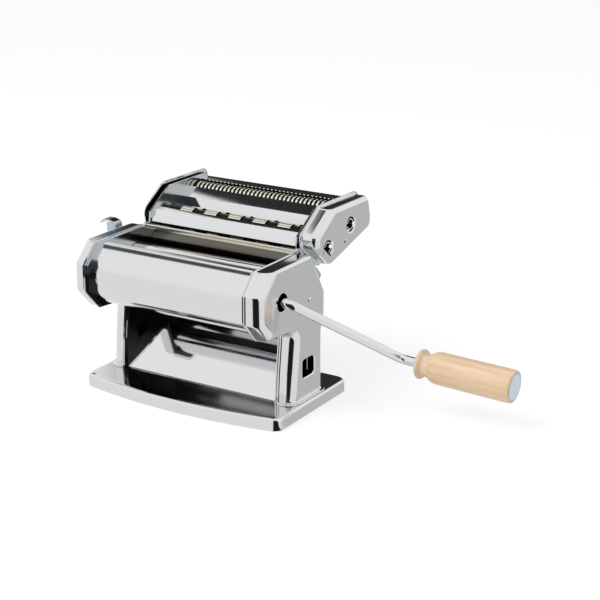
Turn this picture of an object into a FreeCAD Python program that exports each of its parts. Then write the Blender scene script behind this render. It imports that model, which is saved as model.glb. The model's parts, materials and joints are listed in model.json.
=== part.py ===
import FreeCAD, Part
import Sketcher
import os
import re
from math import acos, cos, hypot, pi, radians, sin, sqrt

# Hand-cranked pasta machine with a cutter head on its sloped rails.
# X runs along the rollers with the crank on the +X side, the front is -Y, and +Z is up.
# The origin is on the table, midway between the side covers.

Vector = FreeCAD.Vector
document = FreeCAD.newDocument("PastaMachine")
parts = []

# Driving dimensions, in millimetres and degrees

sizes = {
    "sheet": 1.0,
    # stand
    "baseHalfWidth": 100.0,
    "baseFrontCorner": -55.0,
    "baseFrontMiddle": -65.8,
    "baseBack": 56.0,
    "baseTop": 11.6,
    "baseSkirt": 10.8,
    "baseCorner": 9.0,
    "baseEdge": 2.0,
    "footX": 84.0,
    "footFrontY": -40.0,
    "footBackY": 42.0,
    "footRadius": 7.5,
    "frameInner": 77.0,
    "frameOuter": 79.0,
    "frameFlange": 12.0,
    "frameFlangeTop": 13.6,
    "flangeFront": -24.0,
    "flangeBack": 14.0,
    "screwX": 86.0,
    "screwFrontY": -17.0,
    "screwBackY": 8.0,
    "screwRadius": 2.0,
    "screwHead": 3.6,
    "screwFoot": 6.4,
    "screwTop": 16.0,
    "baseNutStart": 7.4,
    "baseNutThick": 3.2,
    "baseNutFlats": 7.0,
    "throughCut": 3.0,
    "coverFace": 94.0,
    "coverDepth": 15.0,
    "coverCorner": 9.0,
    "coverEdge": 8.0,
    "lipWidth": 3.5,
    "lipTop": 134.8,
    "lipOverlap": 1.6,
    "footCorner": 4.0,
    "footInset": 0.8,
    "rivetY": 2.1,
    "rivetHighZ": 96.2,
    "rivetLowZ": 84.0,
    "rivetRadius": 1.5,
    "rivetDepth": 2.0,
    "rivetHead": 2.6,
    "rivetHeadThick": 1.0,
    "rivetRound": 0.8,
    "standRod": 3.5,
    "cutterRod": 3.0,
    "rodEnd": 2.5,
    "rodNutFlats": 8.0,
    "rodNutThick": 2.2,
    # rollers
    "driveY": -39.5,
    "rollerZ": 105.7,
    "adjustY": -5.0,
    "rollerRadius": 16.0,
    "rollerHalf": 76.5,
    "journal": 7.0,
    "journalBore": 7.06,
    "driveEnd": 89.8,
    "driveFarEnd": 82.0,
    "adjustEnd": 90.0,
    "adjustFarEnd": 82.5,
    "socketDepth": 18.3,
    "socket": 4.06,
    "dogWidth": 2.4,
    "dogDepth": 3.0,
    "dogReach": 5.6,
    "crankHole": 7.7,
    "gearStart": 81.5,
    "gearWidth": 8.0,
    "gearTeeth": 12,
    "bushSleeve": 8.0,
    "bushFlange": 10.0,
    "bushFlangeThick": 1.2,
    "rollerTravel": 2.24,
    # bearing blocks
    "blockHalfDepth": 12.0,
    "blockHalfHeight": 10.0,
    "blockGap": 0.25,
    "blockInner": 76.8,
    "blockThick": 4.4,
    "blockFlangeInner": 79.3,
    "blockFlangeThick": 1.9,
    "leftBlockOuter": 88.0,
    "journalPocket": 6.1,
    "linkY": 14.2,
    "linkZ": 97.0,
    "linkRadius": 3.0,
    "camPocket": 4.0,
    "camSideGap": 0.65,
    "camEndGap": 0.4,
    # hood
    "hoodRadius": 28.5,
    "hoodTopAngle": 107.5,
    "hoodEndAngle": 268.0,
    "hemRadius": 1.3,
    # crank
    "rodRadius": 4.0,
    "firstBendX": 100.0,
    "secondBendX": 158.0,
    "secondBendY": 44.3,
    "secondBendZ": 43.8,
    "bendRadius": 10.0,
    "gripDroop": 2.07,
    "gripStart": 16.4,
    "gripEnd": 102.3,
    "gripBore": 4.08,
    "rodGap": 0.5,
    "rodInGrip": 99.0,
    "dogLength": 2.4,
    "dogSpan": 10.6,
    "dogThick": 2.0,
    "dogSetback": 2.5,
    # regulator
    "knobY": -6.12,
    "camThrow": 1.12,
    "camRadius": 8.0,
    "regulatorShaft": 5.0,
    "regulatorBore": 5.06,
    "regulatorHole": 8.0,
    "shaftOuter": 107.8,
    "shaftLength": 23.5,
    "camOuter": 87.7,
    "camWidth": 3.4,
    "shaftScrew": 2.0,
    "shaftScrewLength": 3.5,
    "shaftScrewSetback": 1.0,
    "shaftScrewHead": 3.6,
    "shaftScrewHeadOuter": 109.7,
    "knobWasher": 7.6,
    "knobWasherThick": 0.9,
    "dialRadius": 19.0,
    "dialThick": 1.4,
    "dialSleeve": 8.0,
    "dialSleeveLength": 4.5,
    "knobRadius": 17.0,
    "knobOuter": 110.0,
    "knobDepth": 12.0,
    "knobEdge": 0.8,
    "knobFloor": 102.0,
    "knobWell": 8.6,
    "knobCap": 15.6,
    "knobCapThick": 1.5,
    "knobCapEdge": 0.6,
    "pinDrop": 13.0,
    "pinRadius": 1.2,
    "pinLength": 2.3,
    "springOuter": 7.1,
    "springInner": 6.1,
    # thumb lever
    "leverHeight": 31.5,
    "leverFront": 4.0,
    "leverWidth": 9.0,
    "leverArmThick": 1.8,
    "leverSheet": 1.5,
    "leverRoofOuter": 109.0,
    "leverRoofLength": 12.8,
    "leverTipOuter": 114.0,
    "leverTipLength": 5.4,
    "leverTipDrop": 2.6,
    "leverCheekOuter": 106.4,
    "leverCheekFoot": 18.6,
    "leverHub": 9.5,
    "leverPinOuter": 106.0,
    "leverPinZ": 24.0,
    "leverPinRadius": 1.6,
    "leverPinLength": 9.0,
    # cutter head
    "cutterY": 31.7,
    "cutterZ": 133.2,
    "cutterTilt": 15.6,
    "plateInner": 74.5,
    "plateOuter": 76.0,
    "cutterHalf": 74.2,
    "cutterJournal": 5.0,
    "cutterBush": 6.0,
    "cutterBushFlange": 6.6,
    "cutterBushThick": 0.8,
    "cutterBore": 5.06,
    "cutterHole": 6.5,
    "cutterSocket": 4.05,
    "cutterEnd": 93.0,
    "cutterShortEnd": 86.5,
    "cutterFarEnd": 77.5,
    "cutterGearStart": 80.5,
    "cutterGearWidth": 5.5,
    "cutterCorner": 8.0,
    "cutterEdge": 6.5,
    "cutterLip": 3.0,
    "cutterOverlap": 2.3,
    "leftCutterFace": 84.0,
    "leftCutterEdge": 3.0,
    "cutterHem": 1.2,
    "cutterRivetHead": 2.4,
    "cutterRivetThick": 0.8,
    "wideSpacing": 13.6,
    "wideRing": 7.2,
    "wideCore": 6.0,
    "widePitch": 25.4,
    "wideWidth": 12.5,
    "fineA": 38.6,
    "fineB": 1.3,
    "fineSpacing": 15.8,
    "fineRing": 8.3,
    "fineCore": 7.1,
    "finePitch": 4.2,
    "fineWidth": 1.9,
    "endRingStart": 63.6,
    "wideToothWidth": 11.8,
    "fineToothWidth": 1.4,
    # hook over the rail, measured down the rail and square to it
    "railA": -21.06,
    "railB": 8.58,
    "railSlope": -60.2,
    "hookStart": 3.0,
    "hookEnd": 43.6,
    "hookGap": 0.4,
    "hookTop": 2.0,
    "hookLeg": -2.2,
    "hookThick": 1.1,
    "hookClear": 0.3,
    # combs under the cutting rollers
    "combNear": 0.5,
    "combFar": 7.0,
    "combDeep": 2.5,
    "combStripLow": 1.8,
    "combStripHigh": 0.8,
    "combToothTop": 0.6,
}

# Outlines in the plane across the rollers: (y, z) for the stand, (a, b) for the cutter head,
# where a runs back along the head's tilt and b rises square to it

outlines = {
    "cover": [(-25.8, 11.8), (-24.0, 37.7), (-19.5, 74.0), (-56.8, 76.6), (-73.4, 94.0), (-73.4, 117.4),
              (-57.4, 133.8), (7.2, 133.8), (28.0, 98.6), (28.0, 77.5), (23.2, 64.0), (23.2, 11.8)],
    "frame": [(-24.6, 11.6), (-22.8, 37.7), (-18.3, 75.2), (-56.4, 77.8), (-72.2, 94.4), (-72.2, 117.0),
              (-57.0, 132.9), (5.0, 133.2), (7.7, 135.8), (9.1, 135.8), (40.4, 104.9), (42.1, 106.6),
              (44.9, 103.8), (38.0, 97.0), (27.2, 86.0), (22.0, 64.0), (22.0, 11.6)],
    "clampWindow": [(-8.7, 30.4), (9.5, 30.4), (9.5, 46.3), (-8.7, 46.3)],
    "cutterCover": [(-17.2, 7.4), (-16.4, 17.4), (15.3, 27.7), (74.6, 10.6), (74.0, -8.0), (71.0, -18.2),
                    (0.6, -18.2)],
    "cutterPlate": [(-16.4, 16.8), (15.2, 26.2), (71.2, 10.3), (68.4, -8.3), (66.3, -13.2), (6.6, -13.4),
                    (-1.6, -28.7), (-21.0, 5.4)],
    "frontSheet": [(-8.7, 18.0), (-17.0, 10.9), (-18.3, 8.75)],
    "ridgeSheet": [(23.4, 1.6), (27.0, 10.5), (44.3, 10.5)],
    "backCover": [(61.0, 9.4), (71.2, 7.9), (68.8, -8.0), (66.6, -12.8)],
    "rearGuide": [(6.4, 133.6), (8.6, 119.0), (14.6, 112.0), (19.5, 103.0), (19.5, 79.0)],
    "chute": [(-23.5, 11.7), (14.0, 61.8), (16.0, 76.0)],
    "frontScraper": [(-34.0, 90.3), (-37.2, 86.6)],
    "rearScraper": [(-12.4, 89.3), (-8.6, 84.6)],
    "linkSlot": [(8.6, 93.6), (18.0, 93.6), (18.0, 100.4), (8.6, 100.4)],
    "blockFlange": [(-18.0, 93.2), (18.2, 93.2), (18.2, 100.8), (9.6, 100.8), (9.6, 117.4), (-18.0, 117.4)],
}

# Named places where a rod joins the two sides

standRods = {"TopFront": (-52.0, 124.0), "Nip": (-40.0, 83.5), "Rear": (14.0, 84.0), "Low": (10.0, 45.0)}
cutterRods = {"Middle": (26.9, -8.8), "Front": (-8.5, 9.8), "Back": (65.6, -3.6)}

sheetObject = document.addObject("Spreadsheet::Sheet", "Sizes")


def fillSheet(values):
    """One row for each driving dimension: its name and its number."""
    for row, (name, value) in enumerate(values.items(), start=1):
        sheetObject.set(f"A{row}", name)
        sheetObject.set(f"B{row}", str(value))
        sheetObject.setAlias(f"B{row}", name)
    document.recompute()


def outlineCells():
    """The corner points of every outline and rod as cells, such as cover3y and cover3z."""
    cells = {}
    for name, points in outlines.items():
        for number, (level, rise) in enumerate(points, start=1):
            cells[f"{name}{number}y"] = level
            cells[f"{name}{number}z"] = rise
    for name, (level, rise) in {**standRods, **cutterRods}.items():
        cells[f"rod{name}y"] = level
        cells[f"rod{name}z"] = rise
    return cells


sizes.update(outlineCells())
fillSheet(sizes)


# Small helpers

def named(text):
    """An expression in which each name is read from the sheet."""
    return re.sub(r"[A-Za-z]\w*", r"Sizes.\g<0>", str(text))


def amount(text):
    """The number that a sum or difference of names and numbers stands for."""
    total = 0.0
    for sign, term in re.findall(r"([+-]?)\s*([A-Za-z]\w*|[\d.]+)", str(text)):
        number = sizes[term] if term in sizes else float(term)
        total += -number if sign == "-" else number
    return total


def bind(feature, prop, text):
    feature.setExpression(prop, named(text))


def newBody(label, cutter=False):
    body = document.addObject("PartDesign::Body", label)
    body.Label = label
    if cutter:
        placeOnCutter(body)
    return body


def placeOnCutter(item):
    """The cutter head's pieces are drawn level and tilted about its first axis."""
    turn = FreeCAD.Rotation(Vector(1, 0, 0), sizes["cutterTilt"])
    item.Placement = FreeCAD.Placement(Vector(0, sizes["cutterY"], sizes["cutterZ"]), turn)
    bind(item, "Placement.Base.y", "cutterY")
    bind(item, "Placement.Base.z", "cutterZ")
    bind(item, "Placement.Rotation.Angle", "cutterTilt")


def newSketch(body, role, start):
    sketch = body.newObject("Sketcher::SketchObject", body.Name + "Sketch")
    plane = next(item for item in body.Origin.OriginFeatures if item.Role == role)
    sketch.AttachmentSupport = [(plane, "")]
    sketch.MapMode = "FlatFace"
    sketch.AttachmentOffset = FreeCAD.Placement(Vector(0, 0, amount(start)), FreeCAD.Rotation())
    bind(sketch, "AttachmentOffset.Base.z", start)
    return sketch


def fixPoint(sketch, edge, end, level, rise):
    """Holds one end of an edge at the distances that the sheet gives."""
    for kind, text in (("DistanceX", level), ("DistanceY", rise)):
        index = sketch.addConstraint(Sketcher.Constraint(kind, -1, 1, edge, end, amount(text)))
        bind(sketch, f"Constraints[{index}]", text)


def addPolygon(sketch, points):
    first = sketch.GeometryCount
    places = [Vector(amount(level), amount(rise), 0) for level, rise in points]
    for here, there in zip(places, places[1:] + places[:1]):
        sketch.addGeometry(Part.LineSegment(here, there), False)
    for number, (level, rise) in enumerate(points):
        before = first + (number - 1) % len(points)
        sketch.addConstraint(Sketcher.Constraint("Coincident", before, 2, first + number, 1))
        fixPoint(sketch, first + number, 1, level, rise)


def addCircle(sketch, centre, radius):
    level, rise = centre
    place = Vector(amount(level), amount(rise), 0)
    edge = sketch.addGeometry(Part.Circle(place, Vector(0, 0, 1), amount(radius)), False)
    fixPoint(sketch, edge, 3, level, rise)
    index = sketch.addConstraint(Sketcher.Constraint("Radius", edge, amount(radius)))
    bind(sketch, f"Constraints[{index}]", radius)


def sweep(body, sketch, length, kind="Pad"):
    """A pad or pocket of the sketch, along its normal for a pad and against it for a pocket."""
    feature = body.newObject("PartDesign::" + kind, body.Name + kind)
    feature.Profile = sketch
    feature.Length = amount(length)
    bind(feature, "Length", length)
    body.Tip = feature
    document.recompute()
    return feature


def across(body, start, length, points=None, circles=(), kind="Pad"):
    """Material or a cut between two planes square to X, outlined by points or circles."""
    sketch = newSketch(body, "YZ_Plane", start)
    if points:
        addPolygon(sketch, points)
    for centre, radius in circles:
        addCircle(sketch, centre, radius)
    return sweep(body, sketch, length, kind)


def corners(name):
    """The points of an outline, as names in the sheet."""
    return [(f"{name}{number}y", f"{name}{number}z") for number in range(1, len(outlines[name]) + 1)]


def edgesWhere(shape, test):
    return [f"Edge{number}" for number, edge in enumerate(shape.Edges, start=1) if test(edge)]


def dress(body, base, kind, edges, prop, text):
    """A fillet or chamfer on the named edges of the last feature."""
    feature = body.newObject("PartDesign::" + kind, body.Name + kind)
    feature.Base = (base, edges)
    setattr(feature, prop, amount(text))
    bind(feature, prop, text)
    body.Tip = feature
    document.recompute()
    return feature


def runsAlongX(edge):
    return isinstance(edge.Curve, Part.Line) and abs(edge.Curve.Direction.x) > 0.999


def offset(points, distance):
    """The outline with every side moved outwards by a distance."""
    area = sum(a[0] * b[1] - b[0] * a[1] for a, b in zip(points, points[1:] + points[:1]))
    side = 1 if area > 0 else -1
    moved = []
    for number, here in enumerate(points):
        before = points[number - 1]
        after = points[(number + 1) % len(points)]
        first = unit(before, here)
        second = unit(here, after)
        normals = [(side * run[1], -side * run[0]) for run in (first, second)]
        bend = 1 + normals[0][0] * normals[1][0] + normals[0][1] * normals[1][1]
        shift = [distance * (normals[0][axis] + normals[1][axis]) / bend for axis in (0, 1)]
        moved.append((here[0] + shift[0], here[1] + shift[1]))
    return moved


def unit(start, end):
    length = hypot(end[0] - start[0], end[1] - start[1])
    return ((end[0] - start[0]) / length, (end[1] - start[1]) / length)


def ribbon(points, thickness):
    """The closed outline of a bent sheet: its points, then the same line one thickness to the left."""
    runs = [unit(here, there) for here, there in zip(points, points[1:])]
    back = []
    for number, (y, z) in enumerate(points):
        before = runs[max(number - 1, 0)]
        after = runs[min(number, len(runs) - 1)]
        share = thickness / (1 + before[0] * after[0] + before[1] * after[1])
        back.append((y - share * (before[1] + after[1]), z + share * (before[0] + after[0])))
    return points + back[::-1]


def bentSheet(label, name, half, thickness, cutter=False):
    """A sheet that spans the two sides, bent along the named outline."""
    body = newBody(label, cutter)
    across(body, "-" + half, f"{half} + {half}", ribbon(outlines[name], thickness))
    parts.append(body)
    return body


def hemmedSheet(label, name, half, hem):
    """A bent sheet of the cutter head with a roll along its first edge."""
    body = bentSheet(label, name, half, sizes["sheet"], True)
    first, second = outlines[name][:2]
    run = (second[0] - first[0], second[1] - first[1])
    share = sizes[hem] / hypot(*run)
    centre = (first[0] - share * run[1], first[1] + share * run[0])
    across(body, "-" + half, f"{half} + {half}", circles=[(centre, hem)])


def mirrored(label, source, finished=True):
    """The same piece on the other side of the machine."""
    twin = document.addObject("Part::Mirroring", label)
    twin.Source = source
    twin.Normal = Vector(1, 0, 0)
    twin.Label = label
    document.recompute()
    if finished:
        parts.append(twin)
    return twin


def group(label, items):
    """Identical pieces under one name, each still a solid of its own."""
    whole = document.addObject("Part::Compound", label)
    whole.Links = items
    whole.Label = label
    document.recompute()
    parts.append(whole)
    return whole


def hexagon(centre, flats):
    """Corner points of a nut, flat sides up and down."""
    reach = flats / sqrt(3)
    y, z = centre
    return [(y + reach * cos(radians(60 * k)), z + reach * sin(radians(60 * k))) for k in range(6)]


# Stand

def basePlate():
    """A pressed tray with a bowed front edge, a rounded rim and an open underside."""
    body = newBody("base_plate")
    sketch = newSketch(body, "XY_Plane", "baseTop - baseSkirt")
    half, front, back = sizes["baseHalfWidth"], sizes["baseFrontCorner"], sizes["baseBack"]
    places = [Vector(-half, front, 0), Vector(half, front, 0), Vector(half, back, 0), Vector(-half, back, 0)]
    middle = Vector(0, sizes["baseFrontMiddle"], 0)
    sketch.addGeometry(Part.Arc(places[0], middle, places[1]), False)
    for number in (1, 2, 3):
        sketch.addGeometry(Part.LineSegment(places[number], places[(number + 1) % 4]), False)
    # An arc's ends run the way round its circle, so its start is the left corner here
    sketch.addConstraint(Sketcher.Constraint("Coincident", 0, 2, 1, 1))
    sketch.addConstraint(Sketcher.Constraint("Coincident", 1, 2, 2, 1))
    sketch.addConstraint(Sketcher.Constraint("Coincident", 2, 2, 3, 1))
    sketch.addConstraint(Sketcher.Constraint("Coincident", 3, 2, 0, 1))
    fixPoint(sketch, 1, 1, "baseHalfWidth", "baseFrontCorner")
    fixPoint(sketch, 2, 1, "baseHalfWidth", "baseBack")
    fixPoint(sketch, 3, 1, "-baseHalfWidth", "baseBack")
    fixPoint(sketch, 3, 2, "-baseHalfWidth", "baseFrontCorner")
    rise = sizes["baseFrontCorner"] - sizes["baseFrontMiddle"]
    bow = sketch.addConstraint(Sketcher.Constraint("Radius", 0, (half ** 2 + rise ** 2) / (2 * rise)))
    depth = "(Sizes.baseFrontCorner - Sizes.baseFrontMiddle)"
    sketch.setExpression(f"Constraints[{bow}]", f"(Sizes.baseHalfWidth ^ 2 + {depth} ^ 2) / (2 * {depth})")
    block = sweep(body, sketch, "baseSkirt")
    upright = edgesWhere(block.Shape, lambda edge: isinstance(edge.Curve, Part.Line)
                         and abs(edge.Curve.Direction.z) > 0.999)
    rounded = dress(body, block, "Fillet", upright, "Radius", "baseCorner")
    top = edgesWhere(rounded.Shape, lambda edge: edge.BoundBox.ZMin > sizes["baseTop"] - 0.01)
    rimmed = dress(body, rounded, "Fillet", top, "Radius", "baseEdge")
    hollow(body, rimmed, lambda face: face.BoundBox.ZMax < sizes["baseTop"] - sizes["baseSkirt"] + 0.01)
    holes = newSketch(body, "XY_Plane", "baseTop")
    for x in ("screwX", "-screwX"):
        for y in ("screwFrontY", "screwBackY"):
            addCircle(holes, (x, y), "screwRadius")
    sweep(body, holes, "sheet + sheet", "Pocket")
    parts.append(body)


def hollow(body, base, openFace):
    """Leaves a wall one sheet thick, open at the chosen face."""
    faces = [f"Face{number}" for number, face in enumerate(base.Shape.Faces, start=1) if openFace(face)]
    feature = body.newObject("PartDesign::Thickness", body.Name + "Thickness")
    feature.Base = (base, faces)
    feature.Value = sizes["sheet"]
    bind(feature, "Value", "sheet")
    feature.Reversed = True
    feature.Join = 1
    body.Tip = feature
    document.recompute()
    return feature


def uprightPins(label, places, spans):
    """Pins along Z made of spans (bottom, top, radius), one pin at each place."""
    pins = []
    for number, (x, y) in enumerate(places, start=1):
        body = newBody(f"{label}_{number}")
        for bottom, top, radius in spans:
            sketch = newSketch(body, "XY_Plane", bottom)
            addCircle(sketch, (x, y), radius)
            sweep(body, sketch, f"{top} - {bottom}")
        pins.append(body)
    group(label, pins)


def standOnFeet():
    spots = [(x, y) for x in ("footX", "-footX") for y in ("footFrontY", "footBackY")]
    uprightPins("rubber_feet", spots, [("0", "baseTop - sheet", "footRadius")])
    screws = [(x, y) for x in ("screwX", "-screwX") for y in ("screwFrontY", "screwBackY")]
    uprightPins("frame_screws", screws, [("screwFoot", "frameFlangeTop", "screwRadius"),
                                         ("frameFlangeTop", "screwTop", "screwHead")])
    nuts = []
    for number, (x, y) in enumerate(screws, start=1):
        body = newBody(f"base_nut_{number}")
        sketch = newSketch(body, "XY_Plane", "baseNutStart")
        addPolygon(sketch, hexagon((amount(x), amount(y)), sizes["baseNutFlats"]))
        addCircle(sketch, (x, y), "screwRadius")
        sweep(body, sketch, "baseNutThick")
        nuts.append(body)
    group("base_nuts", nuts)


def sideCover(label, holes):
    """A deep-drawn shell with a leg, a rounded face, an out-turned lip and a clamp window."""
    body = newBody(label)
    block = across(body, "frameOuter", "coverDepth", corners("cover"))
    foot = outlines["cover"][0][1]
    upright = edgesWhere(block.Shape, lambda edge: runsAlongX(edge) and edge.BoundBox.ZMin > foot + 0.2)
    corner = dress(body, block, "Fillet", upright, "Radius", "coverCorner")
    outer = edgesWhere(corner.Shape, lambda edge: edge.BoundBox.XMin > sizes["coverFace"] - 0.01
                       and edge.BoundBox.ZMax > foot + 0.2)
    rounded = dress(body, corner, "Fillet", outer, "Radius", "coverEdge")
    hollow(body, rounded, lambda face: face.BoundBox.XMax < sizes["frameOuter"] + 0.01
           or face.BoundBox.ZMax < foot + 0.01)
    addLip(body)
    addFootFlange(body)
    across(body, "coverFace + 1", "throughCut", circles=holes, kind="Pocket")
    across(body, "coverFace + 1", "throughCut", corners("clampWindow"), kind="Pocket")
    return body


def addLip(body):
    """The lip lies on the frame: wide at the front and back, narrow on top, none beside the rail."""
    wide = offset(outlines["cover"], sizes["lipWidth"])
    inner = offset(outlines["cover"], -sizes["lipOverlap"])
    foot, top = outlines["cover"][0][1], sizes["lipTop"]
    peak, bend = outlines["cover"][7], outlines["cover"][8]
    lip = [(wide[0][0], foot)] + wide[1:6]
    lip += [(wide[6][0] - top + wide[6][1], top), (peak[0] - 8.0, top), (peak[0] - 1.0, peak[1] + 0.2)]
    lip += [(bend[0] + 0.6, bend[1])] + wide[9:11] + [(wide[11][0], foot)]
    lip += [(inner[11][0], foot)] + inner[10:0:-1] + [(inner[0][0], foot)]
    across(body, "frameOuter", "sheet", lip)


def addFootFlange(body):
    """The leg's sheet turned outwards all round where it stands on the base."""
    front, foot = outlines["cover"][0]
    back = outlines["cover"][-1][0]
    wide, inset = sizes["lipWidth"], sizes["footInset"]
    sketch = newSketch(body, "XY_Plane", str(foot))
    outer = footLine(front - wide, back + wide, sizes["coverFace"] + wide)
    inner = footLine(front + inset, back - inset, sizes["coverFace"] - inset)
    addPolygon(sketch, outer + inner[::-1])
    sweep(body, sketch, "sheet")


def footLine(front, back, side):
    """A line from the frame round the leg and back to the frame, with its two outer corners cut."""
    root, cut = sizes["frameOuter"], sizes["footCorner"]
    return [(root, front), (side - cut, front), (side, front + cut), (side, back - cut), (side - cut, back),
            (root, back)]


def sideCovers():
    crank = [(("driveY", "rollerZ"), "crankHole"), (("rivetY", "rivetHighZ"), "rivetRadius")]
    regulator = [(("knobY", "rollerZ"), "regulatorHole"), (("rivetY", "rivetLowZ"), "rivetRadius")]
    parts.append(sideCover("side_cover_right", crank))
    mirrored("side_cover_left", sideCover("left_cover_pattern", regulator))


def sideFrame():
    """A zinc-plated plate with the sloped rail for the cutter head and a foot on the base."""
    body = newBody("side_frame_right")
    across(body, "frameInner", "frameOuter - frameInner", corners("frame"))
    flange = [("flangeFront", "baseTop"), ("flangeBack", "baseTop"),
              ("flangeBack", "frameFlangeTop"), ("flangeFront", "frameFlangeTop")]
    across(body, "frameOuter", "frameFlange", flange)
    rods = [((f"rod{name}y", f"rod{name}z"), "rodEnd") for name in standRods]
    holes = [(("driveY", "rollerZ"), "bushSleeve")] + rods
    across(body, "frameOuter", "throughCut", circles=holes, kind="Pocket")
    slot = blockOutline(sizes["blockGap"], sizes["rollerTravel"])
    across(body, "frameOuter", "throughCut", slot, kind="Pocket")
    across(body, "frameOuter", "throughCut", corners("linkSlot"), kind="Pocket")
    across(body, "frameOuter", "throughCut", corners("clampWindow"), kind="Pocket")
    holes = newSketch(body, "XY_Plane", "frameFlangeTop")
    for y in ("screwFrontY", "screwBackY"):
        addCircle(holes, ("screwX", y), "screwRadius")
    sweep(body, holes, "throughCut", "Pocket")
    parts.append(body)
    mirrored("side_frame_left", body)


def blockOutline(gap=0.0, travel=0.0):
    """The sliding block's section, or its slot: wider by a gap and longer to the front by the travel."""
    back = sizes["adjustY"] + sizes["blockHalfDepth"] + gap
    front = sizes["adjustY"] - sizes["blockHalfDepth"] - gap - travel
    return rectangle(front, back, sizes["rollerZ"], sizes["blockHalfHeight"] + gap)


def rectangle(front, back, middle, halfHeight):
    low, high = middle - halfHeight, middle + halfHeight
    return [(front, low), (back, low), (back, high), (front, high)]


def frontHood():
    """A sheet rolled round the front roller, with a rolled hem along its top edge."""
    body = newBody("front_hood")
    centre = Vector(sizes["driveY"], sizes["rollerZ"], 0)
    outer = sizes["hoodRadius"]
    inner = outer - sizes["sheet"]
    start, end = radians(sizes["hoodTopAngle"]), radians(sizes["hoodEndAngle"])
    sketch = newSketch(body, "YZ_Plane", "-frameInner")
    arcs = []
    for radius, cell in ((outer, "hoodRadius"), (inner, "hoodRadius - sheet")):
        ring = Part.Circle(centre, Vector(0, 0, 1), radius)
        arcs.append(sketch.addGeometry(Part.ArcOfCircle(ring, start, end), False))
        fixPoint(sketch, arcs[-1], 3, "driveY", "rollerZ")
        index = sketch.addConstraint(Sketcher.Constraint("Radius", arcs[-1], radius))
        bind(sketch, f"Constraints[{index}]", cell)
    for place, angle in ((1, start), (2, end)):
        run = Vector(cos(angle), sin(angle), 0)
        edge = sketch.addGeometry(Part.LineSegment(centre + run * outer, centre + run * inner), False)
        sketch.addConstraint(Sketcher.Constraint("Coincident", edge, 1, arcs[0], place))
        sketch.addConstraint(Sketcher.Constraint("Coincident", edge, 2, arcs[1], place))
        turn = sketch.addConstraint(Sketcher.Constraint("Angle", edge, angle + pi))
        cell = "hoodTopAngle" if place == 1 else "hoodEndAngle"
        sketch.setExpression(f"Constraints[{turn}]", f"(Sizes.{cell} + 180) * 1 deg")
    sweep(body, sketch, "frameInner + frameInner")
    middle = outer - sizes["hemRadius"]
    hem = (centre.x + middle * cos(start), centre.y + middle * sin(start))
    across(body, "-frameInner", "frameInner + frameInner", circles=[(hem, "hemRadius")])
    parts.append(body)


def rodsAndNuts(prefix, rods, inner, outer, radius, cutter=False):
    """Shouldered rods between the two sides, with a nut on each end."""
    bars, nuts = [], []
    for name in rods:
        centre = (f"rod{name}y", f"rod{name}z")
        bar = newBody(f"{prefix}_rod_{name}", cutter)
        across(bar, "-" + inner, f"{inner} + {inner}", circles=[(centre, radius)])
        end = f"{outer} + rodNutThick"
        across(bar, f"-{outer} - rodNutThick", f"{end} + {end}", circles=[(centre, "rodEnd")])
        bars.append(bar)
        for start in (outer, f"-{outer} - rodNutThick"):
            nut = newBody(f"{prefix}_nut_{name}_{len(nuts)}", cutter)
            sketch = newSketch(nut, "YZ_Plane", start)
            addPolygon(sketch, hexagon(rods[name], sizes["rodNutFlats"]))
            addCircle(sketch, centre, "rodEnd")
            sweep(nut, sketch, "rodNutThick")
            nuts.append(nut)
    group(f"{prefix}_rods", bars)
    group(f"{prefix}_nuts", nuts)


def bushes(label, centres, inner, spans, cutter=False):
    """Bearing bushes on both sides: a sleeve in the plate and a flange outside it."""
    items = []
    for number, centre in enumerate(centres, start=1):
        body = newBody(f"{label}_{number}", cutter)
        for start, length, radius in spans:
            across(body, start, length, circles=[(centre, radius)])
        last = spans[-1]
        across(body, f"{last[0]} + {last[1]}", "throughCut + throughCut", circles=[(centre, inner)],
               kind="Pocket")
        items += [body, mirrored(f"{label}_twin_{number}", body, False)]
    group(label, items)


def coverRivets():
    """Short rivets with a domed head in the covers' faces."""
    items = []
    top = sizes["coverFace"] + sizes["rivetHeadThick"] - 0.01
    for number, z in enumerate(("rivetHighZ", "rivetLowZ"), start=1):
        body = newBody(f"cover_rivet_{number}")
        across(body, "coverFace - rivetDepth", "rivetDepth + rivetHeadThick",
               circles=[(("rivetY", z), "rivetRadius")])
        head = across(body, "coverFace", "rivetHeadThick", circles=[(("rivetY", z), "rivetHead")])
        rim = edgesWhere(head.Shape, lambda edge: edge.BoundBox.XMin > top)
        dress(body, head, "Fillet", rim, "Radius", "rivetRound")
        items.append(body)
    group("cover_rivets", [items[0], mirrored("left_rivet", items[1], False)])


# Rollers and their bearings

def roller(label, centre, spans, socketEnd=None, socket=None, cutter=False):
    """A turned roller: spans (start, length, radius) along X, and the crank socket in its end."""
    body = newBody(label, cutter)
    for start, length, radius in spans:
        across(body, start, length, circles=[(centre, radius)])
    if socketEnd:
        cutSocket(body, centre, socketEnd, socket)
    parts.append(body)
    return body


def cutSocket(body, centre, end, radius):
    """A round bore for the crank, with a cross slot at its mouth for the crank's two dogs."""
    across(body, end, "socketDepth", circles=[(centre, radius)], kind="Pocket")
    y, z = amount(centre[0]), amount(centre[1])
    half, reach = sizes["dogWidth"] / 2, sizes["dogReach"]
    slot = [(y - reach, z - half), (y + reach, z - half), (y + reach, z + half), (y - reach, z + half)]
    across(body, end, "dogDepth", slot, kind="Pocket")


def smoothRollers():
    roller("drive_roller", ("driveY", "rollerZ"),
           [("-driveFarEnd", "driveEnd + driveFarEnd", "journal"),
            ("-rollerHalf", "rollerHalf + rollerHalf", "rollerRadius")],
           "driveEnd", "socket")
    roller("adjustable_roller", ("adjustY", "rollerZ"),
           [("-adjustFarEnd", "adjustEnd + adjustFarEnd", "journal"),
            ("-rollerHalf", "rollerHalf + rollerHalf", "rollerRadius")])


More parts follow.
